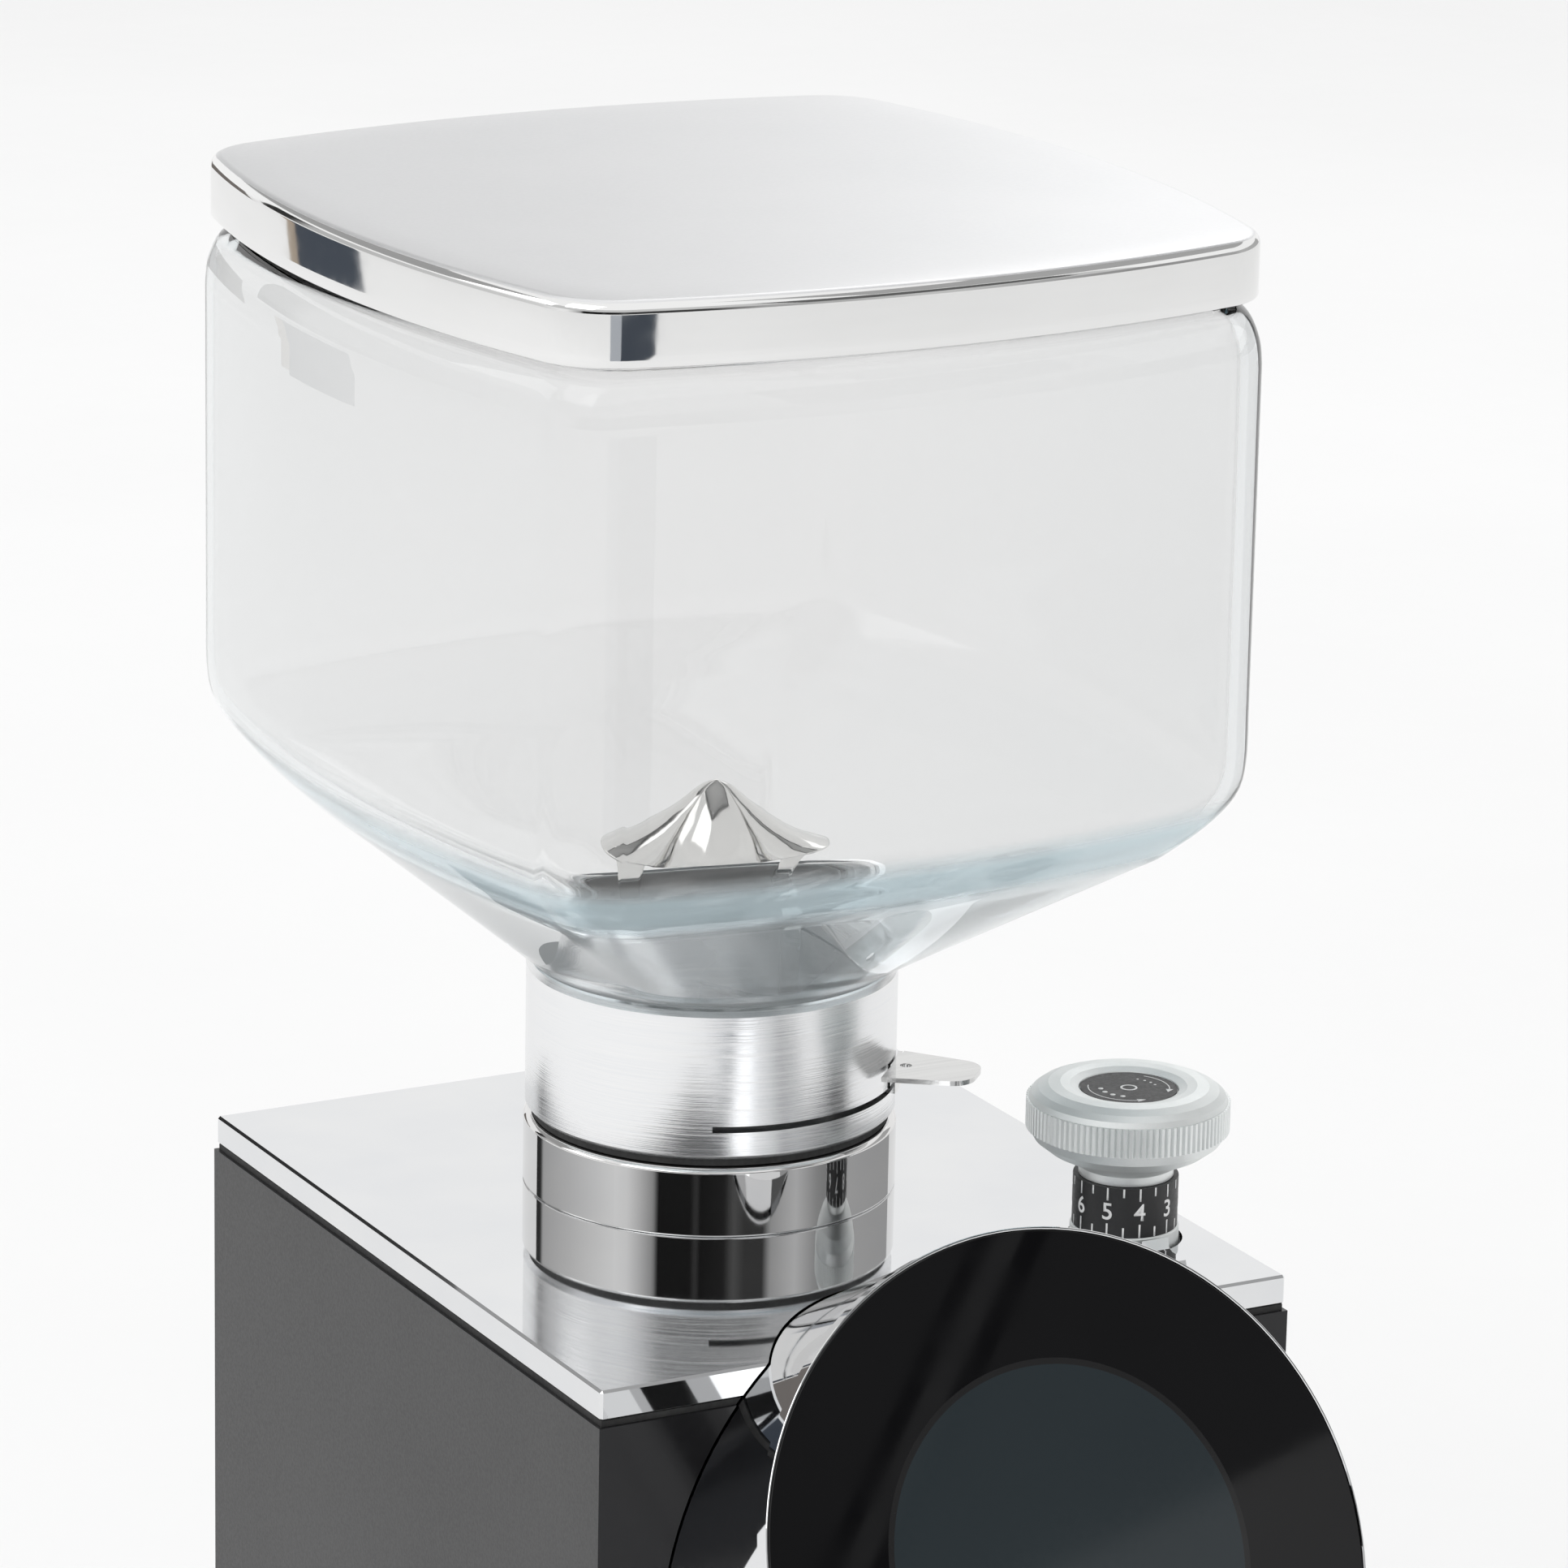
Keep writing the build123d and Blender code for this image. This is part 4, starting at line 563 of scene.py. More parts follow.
def dress_nodes():
    """Gives every CAD node its finish."""
    metal_grey = ((0.5, 0.5, 0.5), (0.6, 0.6, 0.6))
    brass_pair = ((0.66, 0.48, 0.2), (0.78, 0.6, 0.28))
    black_pair = ((0.016, 0.016, 0.017), (0.024, 0.024, 0.025))
    brushed = stainless()
    bright = stainless("polished_stainless", 20.0, 0.05, 0.12)
    zinc = machined("zinc_plate", *metal_grey)
    brass = machined("brass", *brass_pair)
    cast = cast_metal("cast_aluminium", (0.48, 0.48, 0.49), (0.62, 0.62, 0.62))
    steel = machined("ground_steel", (0.42, 0.42, 0.43), (0.55, 0.55, 0.55))
    aluminium = machined("machined_aluminium", (0.7, 0.7, 0.71), (0.8, 0.8, 0.8))
    moulded = plastic("moulded_black", *black_pair)
    gloss_black = plastic("gloss_black", *black_pair, roughness=0.16)
    coat = powder_coat()
    lacquer = black_lacquer()
    mirror = chrome()
    feet = rubber()
    knob = anodised("knob_silver", (0.80, 0.825, 0.82), (0.86, 0.88, 0.875))
    finishes = {
        mirror: ["top_plate", "display_drum", "panel_rim", "index_pointer", "spout"],
        lacquer: ["front_panel"],
        coat: ["side_panel_left", "side_panel_right", "rear_panel", "base_pan", "motor_plate"],
        feet: ["rubber_feet", "plate_gasket", "collar_gasket"],
        turned_aluminium(): ["hopper_collar"],
        clear_plastic("clear_seal", 0.95): ["lid_seal"],
        knob: ["adjust_knob", "dial_flange"],
        bright: ["shutter_gate"],
        brushed: ["grounds_tray", "portafilter_fork"],
        moulded: [
            "knob_label", "scale_sleeve", "panel_mask", "grounds_chute", "cooling_fan",
            "display_module", "start_button", "button_switch", "switch_frame", "mains_inlet",
        ],
        gloss_black: ["rocker_switch", "panel_screws"],
        zinc: ["frame_posts", "gear_bracket", "upper_burr_screws", "lower_burr_screws", "carrier_bolt"],
        brass: ["idler_gear", "adjusting_ring", "burr_carrier"],
        cast: ["grind_chamber", "motor_can", "motor_capacitor"],
        steel: [
            "pinion_spindle", "upper_burr", "lower_burr", "motor_shaft", "motor_bearings", "socket_screws",
        ],
        aluminium: ["burr_holder", "bean_throat"],
        laminations("copper_windings", (0.5, 0.22, 0.08), (0.7, 0.36, 0.15), "Z"): ["motor_coils"],
        laminations("rotor_laminations", (0.25, 0.25, 0.26), (0.45, 0.45, 0.45), "Z"): ["motor_rotor"],
        circuit_board(): ["control_board"],
    }
    for material, names in finishes.items():
        for name in names:
            dress(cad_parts[name], material)


def dress(piece, material):
    piece.data.materials.clear()
    piece.data.materials.append(material)


# ---- mesh helpers ----------------------------------------------------------
def finish_piece(name, vertices, faces, finishes, body, nodes, choose=None, sharp=30.0):
    """Makes a smooth mesh piece that rides on a body and stands for the named CAD nodes."""
    mesh = bpy.data.meshes.new(name)
    mesh.from_pydata([tuple(vertex) for vertex in vertices], [], faces)
    tool = bmesh.new()
    tool.from_mesh(mesh)
    bmesh.ops.remove_doubles(tool, verts=tool.verts, dist=1e-7)
    bmesh.ops.recalc_face_normals(tool, faces=tool.faces)
    tool.to_mesh(mesh)
    tool.free()
    for finish in finishes:
        mesh.materials.append(finish)
    for polygon in mesh.polygons:
        polygon.use_smooth = True
        if choose:
            polygon.material_index = choose(polygon)
    mesh.set_sharp_from_angle(angle=math.radians(sharp))
    piece = bpy.data.objects.new(name, mesh)
    bpy.context.scene.collection.objects.link(piece)
    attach(piece, body)
    if nodes:
        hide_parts(*nodes)
    return piece


def skin(loops, closed=False):
    """Vertices and faces of successive loops of equal count. A loop of one point closes an end."""
    vertices = []
    starts = []
    for loop in loops:
        starts.append(len(vertices))
        vertices.extend(loop)
    faces = []
    pairs = list(zip(range(len(loops) - 1), range(1, len(loops))))
    if closed:
        pairs.append((len(loops) - 1, 0))
    for lower, upper in pairs:
        first, second = starts[lower], starts[upper]
        count = max(len(loops[lower]), len(loops[upper]))
        for index in range(count):
            after = (index + 1) % count
            if len(loops[lower]) == 1:
                faces.append((first, second + after, second + index))
            elif len(loops[upper]) == 1:
                faces.append((first + index, first + after, second))
            else:
                faces.append((first + index, first + after, second + after, second + index))
    return vertices, faces


def thicken(piece, thickness):
    """Gives a sheet its thickness in millimetres, half to each side."""
    solid = piece.modifiers.new("sheet", "SOLIDIFY")
    solid.thickness = thickness * MM
    solid.offset = 0.0


def grid_faces(rows, columns):
    """Faces of a sheet whose vertices lie in rows."""
    wide = columns + 1
    faces = []
    for row in range(rows):
        for column in range(columns):
            first = row * wide + column
            faces.append((first, first + 1, first + wide + 1, first + wide))
    return faces


def join(sheets):
    """Vertices and faces of several sheets as one mesh."""
    vertices, faces = [], []
    for spots, cells in sheets:
        start = len(vertices)
        vertices += spots
        faces += [[start + index for index in cell] for cell in cells]
    return vertices, faces


def smooth_line(points, steps):
    """Catmull-Rom curve through points, with the ends kept."""
    padded = [points[0]] + list(points) + [points[-1]]
    line = []
    for index in range(1, len(padded) - 2):
        before, start, end, after = [Vector(point) for point in padded[index - 1:index + 3]]
        for step in range(steps):
            t = step / steps
            bend = 2 * start + (end - before) * t
            bend += (2 * before - 5 * start + 4 * end - after) * t ** 2
            bend += (3 * start - before - 3 * end + after) * t ** 3
            line.append(bend / 2)
    line.append(Vector(points[-1]))
    return line


def revolved_loops(profile, place, axis=Vector((0, 0, 1)), count=160):
    """Loops of a turned piece. The profile is radius and height in millimetres."""
    turn = axis.to_track_quat("Z", "Y").to_matrix()
    loops = []
    for radius, height in profile:
        if radius == 0:
            loops.append([place + turn @ Vector((0, 0, height * MM))])
            continue
        loop = []
        for index in range(count):
            angle = 2 * math.pi * index / count
            spot = Vector((radius * math.cos(angle), radius * math.sin(angle), height)) * MM
            loop.append(place + turn @ spot)
        loops.append(loop)
    return loops


# ---- the hopper ------------------------------------------------------------
# the radius in millimetres that the sides bow to, and the hopper's turn in its neck
SIDE_BOW = 290.0
HOPPER_TURN = math.radians(1.1)
SIDE_STEPS = 12
CORNER_STEPS = 14


def bowed_outline(inset, corner):
    """The hopper's outline in millimetres from its axis, drawn in from the glass walls."""
    half_x = GLASS_SIZE.x / 2 / MM - inset - 0.05
    half_y = GLASS_SIZE.y / 2 / MM - inset - 0.05
    shift_x = SIDE_BOW - half_x
    shift_y = SIDE_BOW - half_y
    apart = math.hypot(shift_x, shift_y)
    rise = math.sqrt((SIDE_BOW - corner) ** 2 - apart ** 2 / 4)
    centre_x = shift_y * rise / apart - shift_x / 2
    centre_y = shift_x * rise / apart - shift_y / 2
    low = math.atan2(centre_y, centre_x + shift_x)
    high = math.pi / 2 - math.atan2(centre_x, centre_y + shift_y)

    def arc(x, y, radius, start, end, steps):
        angles = [start + (end - start) * step / steps for step in range(steps)]
        return [(x + radius * math.cos(angle), y + radius * math.sin(angle)) for angle in angles]

    quarter = arc(-shift_x, 0, SIDE_BOW, 0, low, SIDE_STEPS)
    quarter += arc(centre_x, centre_y, corner, low, high, CORNER_STEPS)
    quarter += arc(0, -shift_y, SIDE_BOW, high, math.pi / 2, SIDE_STEPS)
    mirrored = [(-x, y) for x, y in quarter[:0:-1]]
    half = quarter + [(0.0, half_y)] + mirrored
    return half + [(-x, -y) for x, y in half]


def hopper_loop(outline, height):
    """A loop about the grinding axis, turned as the hopper is, at a height above the plate."""
    cos, sin = math.cos(HOPPER_TURN), math.sin(HOPPER_TURN)
    loop = []
    for x, y in outline:
        spot = Vector((x * cos - y * sin, x * sin + y * cos, height)) * MM
        loop.append(GRIND_PLACE + spot)
    return loop


def blended_outline(share, radius, inset, corner):
    """Between a circle, at share 0, and the bowed outline, at share 1."""
    points = []
    for x, y in bowed_outline(inset, corner):
        length = math.hypot(x, y)
        ring_x, ring_y = radius * x / length, radius * y / length
        points.append((ring_x + (x - ring_x) * share, ring_y + (y - ring_y) * share))
    return points


def funnel_loops(circles, foot, top, corner, steps=14):
    """Neck circles, and the funnel from its foot's radius and height up to its top's draw-in and height."""
    radius, start = foot
    inset, end = top
    loops = [hopper_loop(blended_outline(0, ring, 0, corner), height) for ring, height in circles]
    for step in range(steps):
        share = step / steps
        height = start + (end - start) * share
        loops.append(hopper_loop(blended_outline(share, radius, inset, corner), height))
    return loops


def wall_loops(stations, corner, steps=4):
    """Loops of the bowed outline through stations of draw-in and height."""
    line = smooth_line(stations, steps)
    return [hopper_loop(bowed_outline(draw, corner), height) for draw, height in line]


def make_glass():
    """The outer and inner skins. Necks are radius and height, and the rest is draw-in and height."""
    outer_neck = ((30.7, 30.7), (30.7, 44.6), (31.0, 46.2), (32.2, 46.9), (35.5, 47.0), (36.7, 47.3))
    inner_neck = ((27.9, 30.7), (27.9, 46.0), (28.4, 48.2), (30.0, 49.8))
    outer_walls = ((13.0, 79.0), (6.2, 85.5), (1.5, 92.0), (0.1, 98.5), (0.0, 108.0))
    outer_mouth = ((0.0, 178.0), (0.5, 182.5), (2.1, 186.8), (4.0, 189.0), (5.6, 189.9))
    mouth_rim = ((5.6, 189.9), (6.6, 190.0), (7.6, 189.4))
    inner_mouth = ((7.6, 189.4), (6.2, 186.0), (4.6, 181.5), (4.2, 176.0))
    inner_walls = ((4.1, 106.0), (4.2, 98.6), (5.3, 93.3), (9.3, 88.0), (13.0, 84.4), (15.6, 82.0))
    outer_foot = (37.1, 47.8)
    inner_foot = (33.4, 51.0)
    corner = 17.6
    inner_corner = 13.6
    outside = funnel_loops(outer_neck, outer_foot, outer_walls[0], corner)
    outside += wall_loops(outer_walls, corner)
    outside += wall_loops(outer_mouth, corner)
    outside += wall_loops(mouth_rim, corner - 3)[1:]
    inside = wall_loops(inner_mouth, inner_corner)[1:]
    inside += wall_loops(inner_walls, inner_corner)
    inside += funnel_loops(inner_neck, inner_foot, inner_walls[-1], inner_corner)[::-1][1:]
    vertices, faces = skin(outside + inside, closed=True)
    glass = finish_piece("hopper_glass", vertices, faces, [clear_glass()], "hopper", ["glass_hopper"])


def make_neck_ring():
    """The chrome ring on the plate, with soft bevels above and below."""
    low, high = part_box("base_ring")
    radius = (high.x - low.x) / 2 / MM
    tall = (high.z - low.z) / MM
    wall = 6.7
    bore = radius - wall
    profile = [(bore, 0.0), (radius - 0.25, 0.0), (radius - 0.05, 0.12), (radius, 0.35), (radius, 0.45)]
    profile += [(radius, tall - 1.1), (radius, tall - 1.0), (radius - 0.1, tall - 0.75)]
    profile += [(radius - 0.75, tall - 0.12), (radius - 1.0, tall), (bore, tall)]
    vertices, faces = skin(revolved_loops(profile, GRIND_PLACE, count=256), closed=True)
    ring = finish_piece("neck_ring", vertices, faces, [ring_chrome()], "housing", ["base_ring"], sharp=50.0)


# millimetres: draw-ins are from the glass's walls, and heights are above the plate
LID_EDGE = 1.15
LID_CORNER = 17.0
LID_CORNER_LEAST = 6.0
LID_TOP = 203.9
LID_ROLL = 2.4
LID_ROLL_STEPS = 8
LID_UNDERSIDE = 201.2


def lid_loop(draw, height, share=1.0):
    """A loop of the lid's outline, drawn in from its skirt and scaled about its middle."""
    outline = bowed_outline(LID_EDGE + draw, max(LID_CORNER_LEAST, LID_CORNER - draw))
    return hopper_loop([(x * share, y * share) for x, y in outline], height)


def make_lid():
    """Satin top and polished skirt with a rolled edge, over a pale satin underside."""
    loops = [hopper_loop([(0.0, 0.0)], LID_TOP)]
    loops += [lid_loop(LID_ROLL, LID_TOP, share) for share in (0.25, 0.5, 0.75, 0.9)]
    for step in range(LID_ROLL_STEPS + 1):
        angle = math.pi / 2 * step / LID_ROLL_STEPS
        loops.append(lid_loop(LID_ROLL * (1 - math.sin(angle)), LID_TOP - LID_ROLL * (1 - math.cos(angle))))
    lip = ((0.0, 194.0), (0.0, 191.9), (0.2, 191.5), (0.6, 191.3), (1.7, 191.3), (2.1, 191.6), (2.3, 200.8))
    loops += [lid_loop(draw, height) for draw, height in lip]
    inner_edge = 2.8
    loops += [lid_loop(inner_edge, LID_UNDERSIDE, share) for share in (1.0, 0.6)]
    loops += [hopper_loop([(0.0, 0.0)], LID_UNDERSIDE)]
    vertices, faces = skin(loops)

    def finish_of(polygon):
        height = (polygon.center.z - GRIND_PLACE.z) / MM
        level = abs(polygon.normal.z) > 0.8
        if level and height > LID_TOP - 0.6:
            return 0
        return 2 if level and abs(height - LID_UNDERSIDE) < 0.75 else 1

    finishes = [satin_aluminium(), polished_aluminium(), pale_lacquer()]
    lid = finish_piece("lid_cover", vertices, faces, finishes, "lid", ["hopper_lid"], finish_of)


def make_lid_plug():
    """The clear lip inside the lid that keeps it in the glass's mouth."""
    section = ((9.6, 200.9), (9.8, 188.2), (10.1, 187.6), (11.4, 187.6), (11.8, 188.2), (12.0, 200.9))
    vertices, faces = skin([lid_loop(draw, height) for draw, height in section], closed=True)
    plug = finish_piece("lid_plug", vertices, faces, [clear_plastic()], "lid", [])


# degrees: which way a wing faces, half of a leaf's spread, and half of the gap at a slit
GUIDE_ANGLE = -28.4
GUIDE_SPLIT = 53.0
GUIDE_GAP = 1.5
PETAL_STEPS = 7
PETAL_COLUMNS = 28
# millimetres: heights are above the plate, and the reach is from the grinding axis
LEG_FOOT = 24.6
LEG_TOP = 71.6
LEG_WIDTH = 4.0
LEG_REACH = 14.4
# radius and height in millimetres, from the apex out
WING = ((0.0, 83.9), (3.0, 82.6), (8.0, 78.4), (14.0, 74.2), (18.5, 71.8), (22.8, 70.2))
LEAF = ((0.0, 83.9), (2.6, 82.6), (5.6, 79.3), (8.6, 74.6), (10.9, 69.6), (12.2, 65.7))
SLIT = ((0.0, 83.9), (2.6, 82.6), (5.6, 79.2), (9.0, 74.2), (11.2, 69.0), (12.7, 64.5))


def petal(profile, facing, spread, tip):
    """A bent sheet: its middle follows the profile and its two edges the slit's line."""
    centre_line = smooth_line(profile, PETAL_STEPS)
    edge_line = smooth_line(SLIT, PETAL_STEPS)
    vertices = []
    for (radius, height), (edge_radius, edge_height) in zip(centre_line, edge_line):
        for column in range(PETAL_COLUMNS + 1):
            side = 2 * column / PETAL_COLUMNS - 1
            share = abs(side) ** tip
            reach = radius + (edge_radius - radius) * share
            level = height + (edge_height - height) * share
            angle = math.radians(facing + spread * side)
            spot = Vector((reach * math.cos(angle), reach * math.sin(angle), level))
            vertices.append(GRIND_PLACE + spot * MM)
    return vertices, grid_faces(len(centre_line) - 1, PETAL_COLUMNS)


def guide_leg(side):
    """A flat strip from the foot ring up to a wing, its broad side to the steep leaves."""
    rows, columns = 14, 6
    facing = math.radians(GUIDE_ANGLE)
    outward = Vector((math.cos(facing), math.sin(facing), 0)) * side
    ahead = Vector((outward.y, -outward.x, 0))
    flare_start = 0.85
    vertices = []
    for row in range(rows + 1):
        share = row / rows
        rise = Vector((0, 0, (LEG_FOOT + (LEG_TOP - LEG_FOOT) * share) * MM))
        flare = max(0.0, share - flare_start) / (1 - flare_start)
        for column in range(columns + 1):
            reach = LEG_REACH + (LEG_WIDTH + 1.4 * flare) * (column / columns - 0.5) + 1.6 * share
            bow = 6.5 + 1.2 * math.sin(math.pi * share)
            vertices.append(GRIND_PLACE + (outward * reach + ahead * side * bow) * MM + rise)
    return vertices, grid_faces(rows, columns)


def make_guide():
    """Two flared wings and two steep leaves under one apex, with two legs down to a foot ring."""
    sheets = []
    for side in (1, -1):
        wing = GUIDE_ANGLE + (0 if side > 0 else 180)
        sheets.append(petal(WING, wing, 90.0 - GUIDE_SPLIT - GUIDE_GAP, 4.6))
        sheets.append(petal(LEAF, wing - 90, GUIDE_SPLIT - GUIDE_GAP, 2.0))
        sheets.append(guide_leg(side))
    vertices, faces = join(sheets)
    finishes = [polished_sheet()]
    guide = finish_piece("guide_petals", vertices, faces, finishes, "hopper", ["bean_guide"], sharp=60.0)
    thicken(guide, 0.7)
    ring = ((16.7, 24.1), (16.7, 25.0), (16.9, 25.1), (27.2, 25.1), (27.4, 25.0), (27.4, 24.1))
    vertices, faces = skin(revolved_loops(ring, GRIND_PLACE), closed=True)
    foot = finish_piece("guide_foot", vertices, faces, [pale_lacquer()], "hopper", [])


# ---- the control panel -----------------------------------------------------
def panel_axis():
    return Vector((0, -math.cos(PANEL_TILT), math.sin(PANEL_TILT)))


def make_panel_lens():
    """The flat round glass with a ground edge: black print with the screen showing in its middle."""
    low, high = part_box("panel_glass")
    centre = middle("panel_glass")
    radius = (high.x - low.x) / 2 / MM
    half = 1.35  # of the glass's thickness
    screen_radius = 37.0
    border_radius = 38.2
    profile = [(0, half), (screen_radius, half), (border_radius, half), (radius - 0.25, half)]
    profile += [(radius - 0.1, half - 0.05), (radius, half - 0.2), (radius, -half), (0, -half)]
    vertices, faces = skin(revolved_loops(profile, centre, panel_axis(), 192))

    def finish_of(polygon):
        away = polygon.center - centre
        if polygon.normal.dot(panel_axis()) < 0.9 or away.dot(panel_axis()) < 0:
            return 0
        if away.length > border_radius * MM:
            return 0
        return 1 if away.length < (screen_radius - 1) * MM else 2

    finishes = [panel_print(), screen(), screen_border()]
    nodes = ["panel_glass"]
    lens = finish_piece("panel_front", vertices, faces, finishes, "housing", nodes, finish_of, 12.0)


# ---- the dial --------------------------------------------------------------
# millimetres and degrees from +X; heights are above the plate
SLEEVE_RADIUS = 10.54
FRONT_AZIMUTH = -104.4
FRONT_DIGIT = 4
DIGIT_SIZE = 4.9
DIGIT_HEIGHT = 8.35
MARK_HALF = 0.19
MARKS_TOP = 13.25
MARKS_BOTTOM = 3.05
LABEL_TOP = 31.02
LABEL_TURN = -28.433
ARROW_RADIUS = 8.1
ARROW_WIDTH = 0.22
DOTS_RADIUS = 5.7


def wrapped(azimuth, x, y):
    """A flat drawing's point, in millimetres, laid on the dial's sleeve."""
    angle = azimuth + x / SLEEVE_RADIUS
    reach = Vector((SLEEVE_RADIUS * math.cos(angle), SLEEVE_RADIUS * math.sin(angle), y))
    return DIAL_PLACE + reach * MM


def digit_shapes(text, size):
    """Vertices and faces of a digit in millimetres, centred, cut in narrow strips so that it bends."""
    curve = bpy.data.curves.new("digit", "FONT")
    curve.body = text
    curve.size = size
    curve.offset = 0.012 * size
    curve.align_x = "CENTER"
    curve.align_y = "CENTER"
    curve.resolution_u = 6
    holder = bpy.data.objects.new("digit", curve)
    bpy.context.scene.collection.objects.link(holder)
    bpy.context.view_layer.update()
    mesh = bpy.data.meshes.new_from_object(holder)
    tool = bmesh.new()
    tool.from_mesh(mesh)
    strip = 0.4  # width of a strip in millimetres
    for step in range(-4, 5):
        geometry = tool.verts[:] + tool.edges[:] + tool.faces[:]
        bmesh.ops.bisect_plane(tool, geom=geometry, plane_co=(step * strip, 0, 0), plane_no=(1, 0, 0))
    tool.verts.ensure_lookup_table()
    low = min(vertex.co.y for vertex in tool.verts)
    high = max(vertex.co.y for vertex in tool.verts)
    vertices = [(vertex.co.x, vertex.co.y - (low + high) / 2) for vertex in tool.verts]
    tool.verts.index_update()
    faces = [[vertex.index for vertex in face.verts] for face in tool.faces]
    tool.free()
    bpy.data.objects.remove(holder)
    bpy.data.meshes.remove(mesh)
    bpy.data.curves.remove(curve)
    return vertices, faces


def add_ink(name, sheets, thickness):
    """Raised white print on a CAD node of the dial."""
    vertices, faces = join(sheets)
    ink = finish_piece(name, vertices, faces, [white_ink()], "dial", [])
    thicken(ink, thickness)


def make_scale_print():
    """Ten digits around the sleeve, with a row of marks above them and one below."""
    digits = []
    for digit in range(10):
        azimuth = math.radians(FRONT_AZIMUTH - 36.0 * (digit - FRONT_DIGIT))
        spots, cells = digit_shapes(str(digit), DIGIT_SIZE)
        digits.append(([wrapped(azimuth, x, y + DIGIT_HEIGHT) for x, y in spots], cells))
    add_ink("scale_digits", digits, 0.04)
    marks = []
    for mark in range(20):
        azimuth = math.radians(FRONT_AZIMUTH - 18.0 * mark)
        upper, lower = (2.6, 2.8) if mark % 2 == 0 else (1.8, 2.1)
        for low, high in ((MARKS_TOP - upper, MARKS_TOP), (MARKS_BOTTOM, MARKS_BOTTOM + lower)):
            corners = ((-MARK_HALF, low), (MARK_HALF, low), (MARK_HALF, high), (-MARK_HALF, high))
            marks.append(([wrapped(azimuth, x, y) for x, y in corners], [(0, 1, 2, 3)]))
    add_ink("scale_ticks", marks, 0.04)


def on_label(radius, degrees):
    """A point on the knob's label, at an angle from the right of its print."""
    angle = math.radians(degrees + LABEL_TURN)
    return DIAL_PLACE + Vector((radius * math.cos(angle), radius * math.sin(angle), LABEL_TOP)) * MM


def label_arc(radius, width, start, end, steps=20):
    spots = []
    for step in range(steps + 1):
        degrees = start + (end - start) * step / steps
        spots += [on_label(radius - width / 2, degrees), on_label(radius + width / 2, degrees)]
    return spots, [(2 * step, 2 * step + 1, 2 * step + 3, 2 * step + 2) for step in range(steps)]


def label_arrowhead(radius, degrees, way):
    corners = ((radius - 0.75, 0), (radius + 0.75, 0), (radius - 0.1, 13 * way))
    return [on_label(reach, degrees + step) for reach, step in corners], [(0, 1, 2)]


def label_dot(radius, degrees, size, steps=14):
    centre = on_label(radius, degrees)
    spots = []
    for step in range(steps):
        around = 2 * math.pi * step / steps
        spots.append(centre + Vector((math.cos(around), math.sin(around), 0)) * size * MM)
    return spots, [tuple(range(steps))]


def make_label_print():
    """Two turning arrows with dots and a small ring on the knob's label."""
    sheets = [
        label_arc(ARROW_RADIUS, ARROW_WIDTH, 66, -6),
        label_arrowhead(ARROW_RADIUS, -4, -1),
        label_arc(ARROW_RADIUS, ARROW_WIDTH, 172, 282),
        label_arrowhead(ARROW_RADIUS, 280, 1),
    ]
    for index in range(4):
        sheets.append(label_dot(DOTS_RADIUS, 70 - 16 * index, 0.28))
        sheets.append(label_dot(DOTS_RADIUS, 190 + 22 * index, 0.55))
    sheets.append(label_arc(1.5, 0.45, 0, 360, 40))
    add_ink("label_print", sheets, 0.03)


# ---- the studio ------------------------------------------------------------
def floor_material():
    paint = Paint("studio_floor", (0.86, 0.86, 0.86), 0.0, 0.6)
    paint.tint(paint.noise(3.0), (0.85, 0.85, 0.85), (0.87, 0.87, 0.87))
    paint.rough(paint.noise(50.0), 0.55, 0.7)
    return paint.material


# azimuth from +X in degrees, and brightness there
STAND_LEVELS = (
    (-180, 0.95), (-171, 0.9), (-163, 0.66), (-154, 0.36), (-151, 0.012), (-130, 0.012),
    (-127, 0.05), (-124, 0.012), (-109, 0.02), (-103, 0.1), (-96, 0.05), (-84, 0.05),
    (-79, 0.4), (-62, 0.62), (-47, 0.36), (-40, 0.3), (-20, 0.5), (20, 0.45), (105, 0.3),
    (109, 0.03), (116, 0.04), (119, 0.5), (145, 0.66), (179, 0.92),
)
COOL = (0.85, 1.0, 1.25)
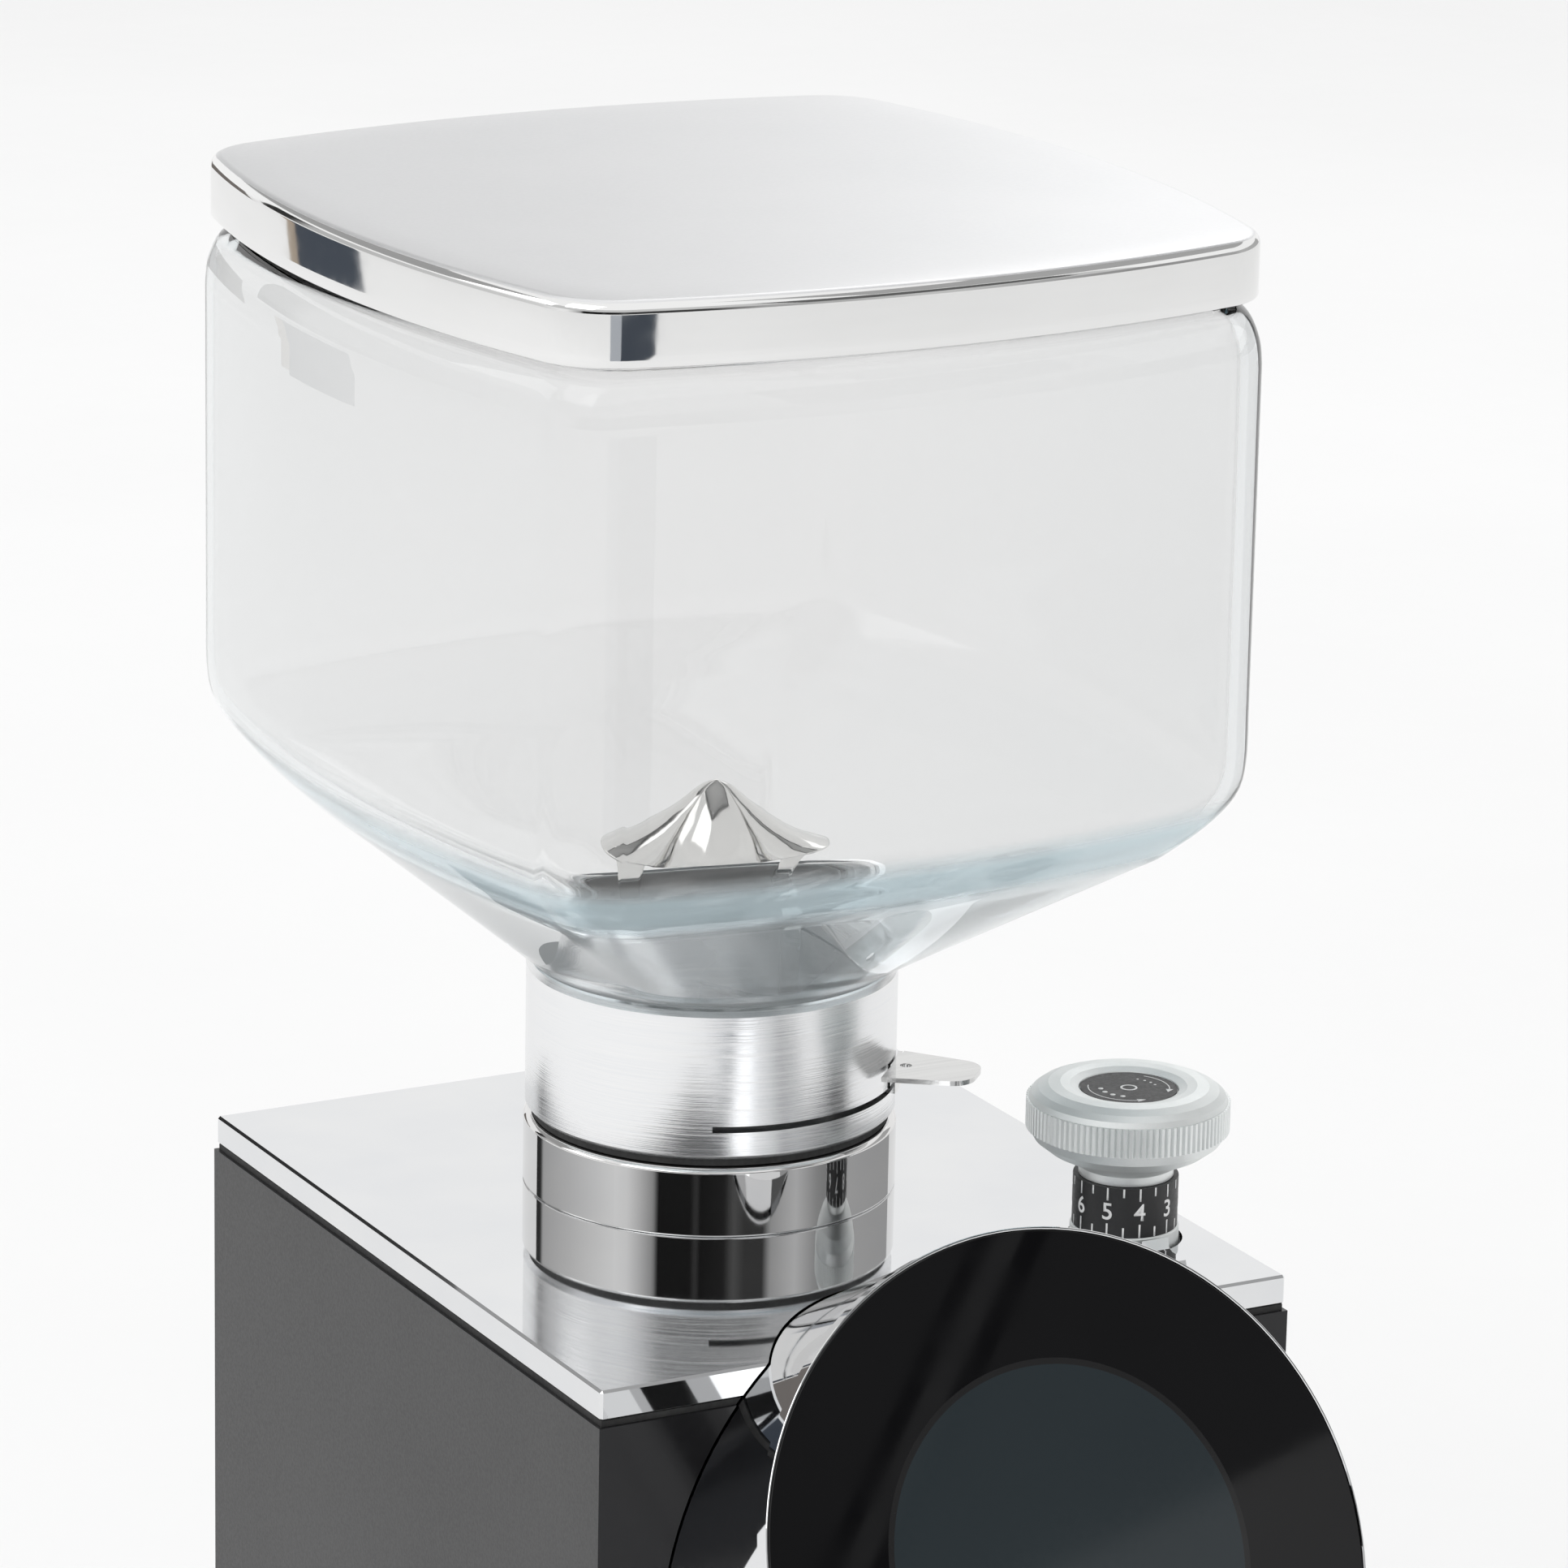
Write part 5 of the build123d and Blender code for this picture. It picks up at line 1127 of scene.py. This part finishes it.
# name, distance, azimuths, heights, brightness, and a colour if it isn't grey
WALLS = (
    ("grey_wall", 3.0, (-205, -40), (0.7, 2.2), 0.62),
    ("stand_wall", 0.9, (-250, 30), (0.42, 0.64), STAND_LEVELS),
    ("blue_stand", 0.95, (-106, -89), (0.02, 0.36), 0.07, COOL),
    ("blue_stand_edge", 0.96, (-119, -106), (0.02, 0.36), 0.45, (0.95, 1.0, 1.08)),
    ("side_stand", 1.07, (114.5, 126), (0.236, 0.36), 0.08, COOL),
    ("side_stand_edge", 1.08, (112.8, 115), (0.236, 0.36), 0.34, (1.2, 1.0, 0.8)),
    ("back_stand", 2.0, (87, 104), (0.16, 0.44), 0.16, (1.1, 1.0, 0.94)),
    ("back_ceiling", 2.2, (60, 135), (1.15, 2.1), 0.38),
    ("right_ceiling", 2.2, (-62, 40), (1.9, 4.2), 0.42),
)
# metres: half of the floor's width, and from the panel to the ceiling card
FLOOR_REACH = 9.0
CEILING_LIFT = 1.2


def make_ceiling():
    """The grey ceiling card that the round glass reflects, with a boom across it."""
    facing = Vector((0.4756, -0.7442, 0.4697)).normalized()
    across = Vector((0, 0, 1)).cross(facing).normalized()
    rising = facing.cross(across)
    panel_centre = Vector((0, -0.0995, 0.2287))
    outline = [(-0.3, -0.13), (0.28, 0.018), (0.3, 0.3), (-0.3, 0.3)]
    make_card("ceiling", panel_centre + facing * CEILING_LIFT, across, rising, outline, 0.13)
    along = Vector((0.102, 0.081)).normalized()
    side = Vector((-along.y, along.x))
    start = Vector((-0.022, 0.049)) - along * 0.2
    end = start + along * 0.4
    booms = (("boom_edge", -0.012, 0.012, 0.01, 0.001), ("boom", -0.004, 0.005, 0.26, 0.002))
    for name, low, high, level, nearer in booms:
        outline = [start + side * low, end + side * low, end + side * high, start + side * high]
        place = panel_centre + facing * (CEILING_LIFT - nearer)
        make_card(name, place, across, rising, outline, level)


def make_studio():
    reach = FLOOR_REACH
    corners = [(-reach, -reach, 0), (reach, -reach, 0), (reach, reach, 0), (-reach, reach, 0)]
    make_stage_mesh("floor", corners, [range(4)], floor_material())
    make_world(1.0)
    aim = (0, 0, 0.3)
    make_area_light("key_light", (-1.6, -0.6, 2.2), aim, (1.6, 1.6), 9.0)
    make_area_light("back_light", (1.2, 2.0, 1.8), aim, (1.6, 1.0), 4.5)
    make_area_light("left_light", (-2.2, 1.4, 1.8), aim, (1.6, 1.0), 4.5)
    # what the polished faces see: grey walls and dark stands around the machine
    for wall in WALLS:
        make_wall(*wall)
    make_ceiling()


def main():
    bpy.context.scene.view_settings.view_transform = "Standard"
    make_camera()
    make_studio()
    dress_nodes()
    make_glass()
    make_lid()
    make_lid_plug()
    make_neck_ring()
    make_guide()
    make_panel_lens()
    make_scale_print()
    make_label_print()


main()
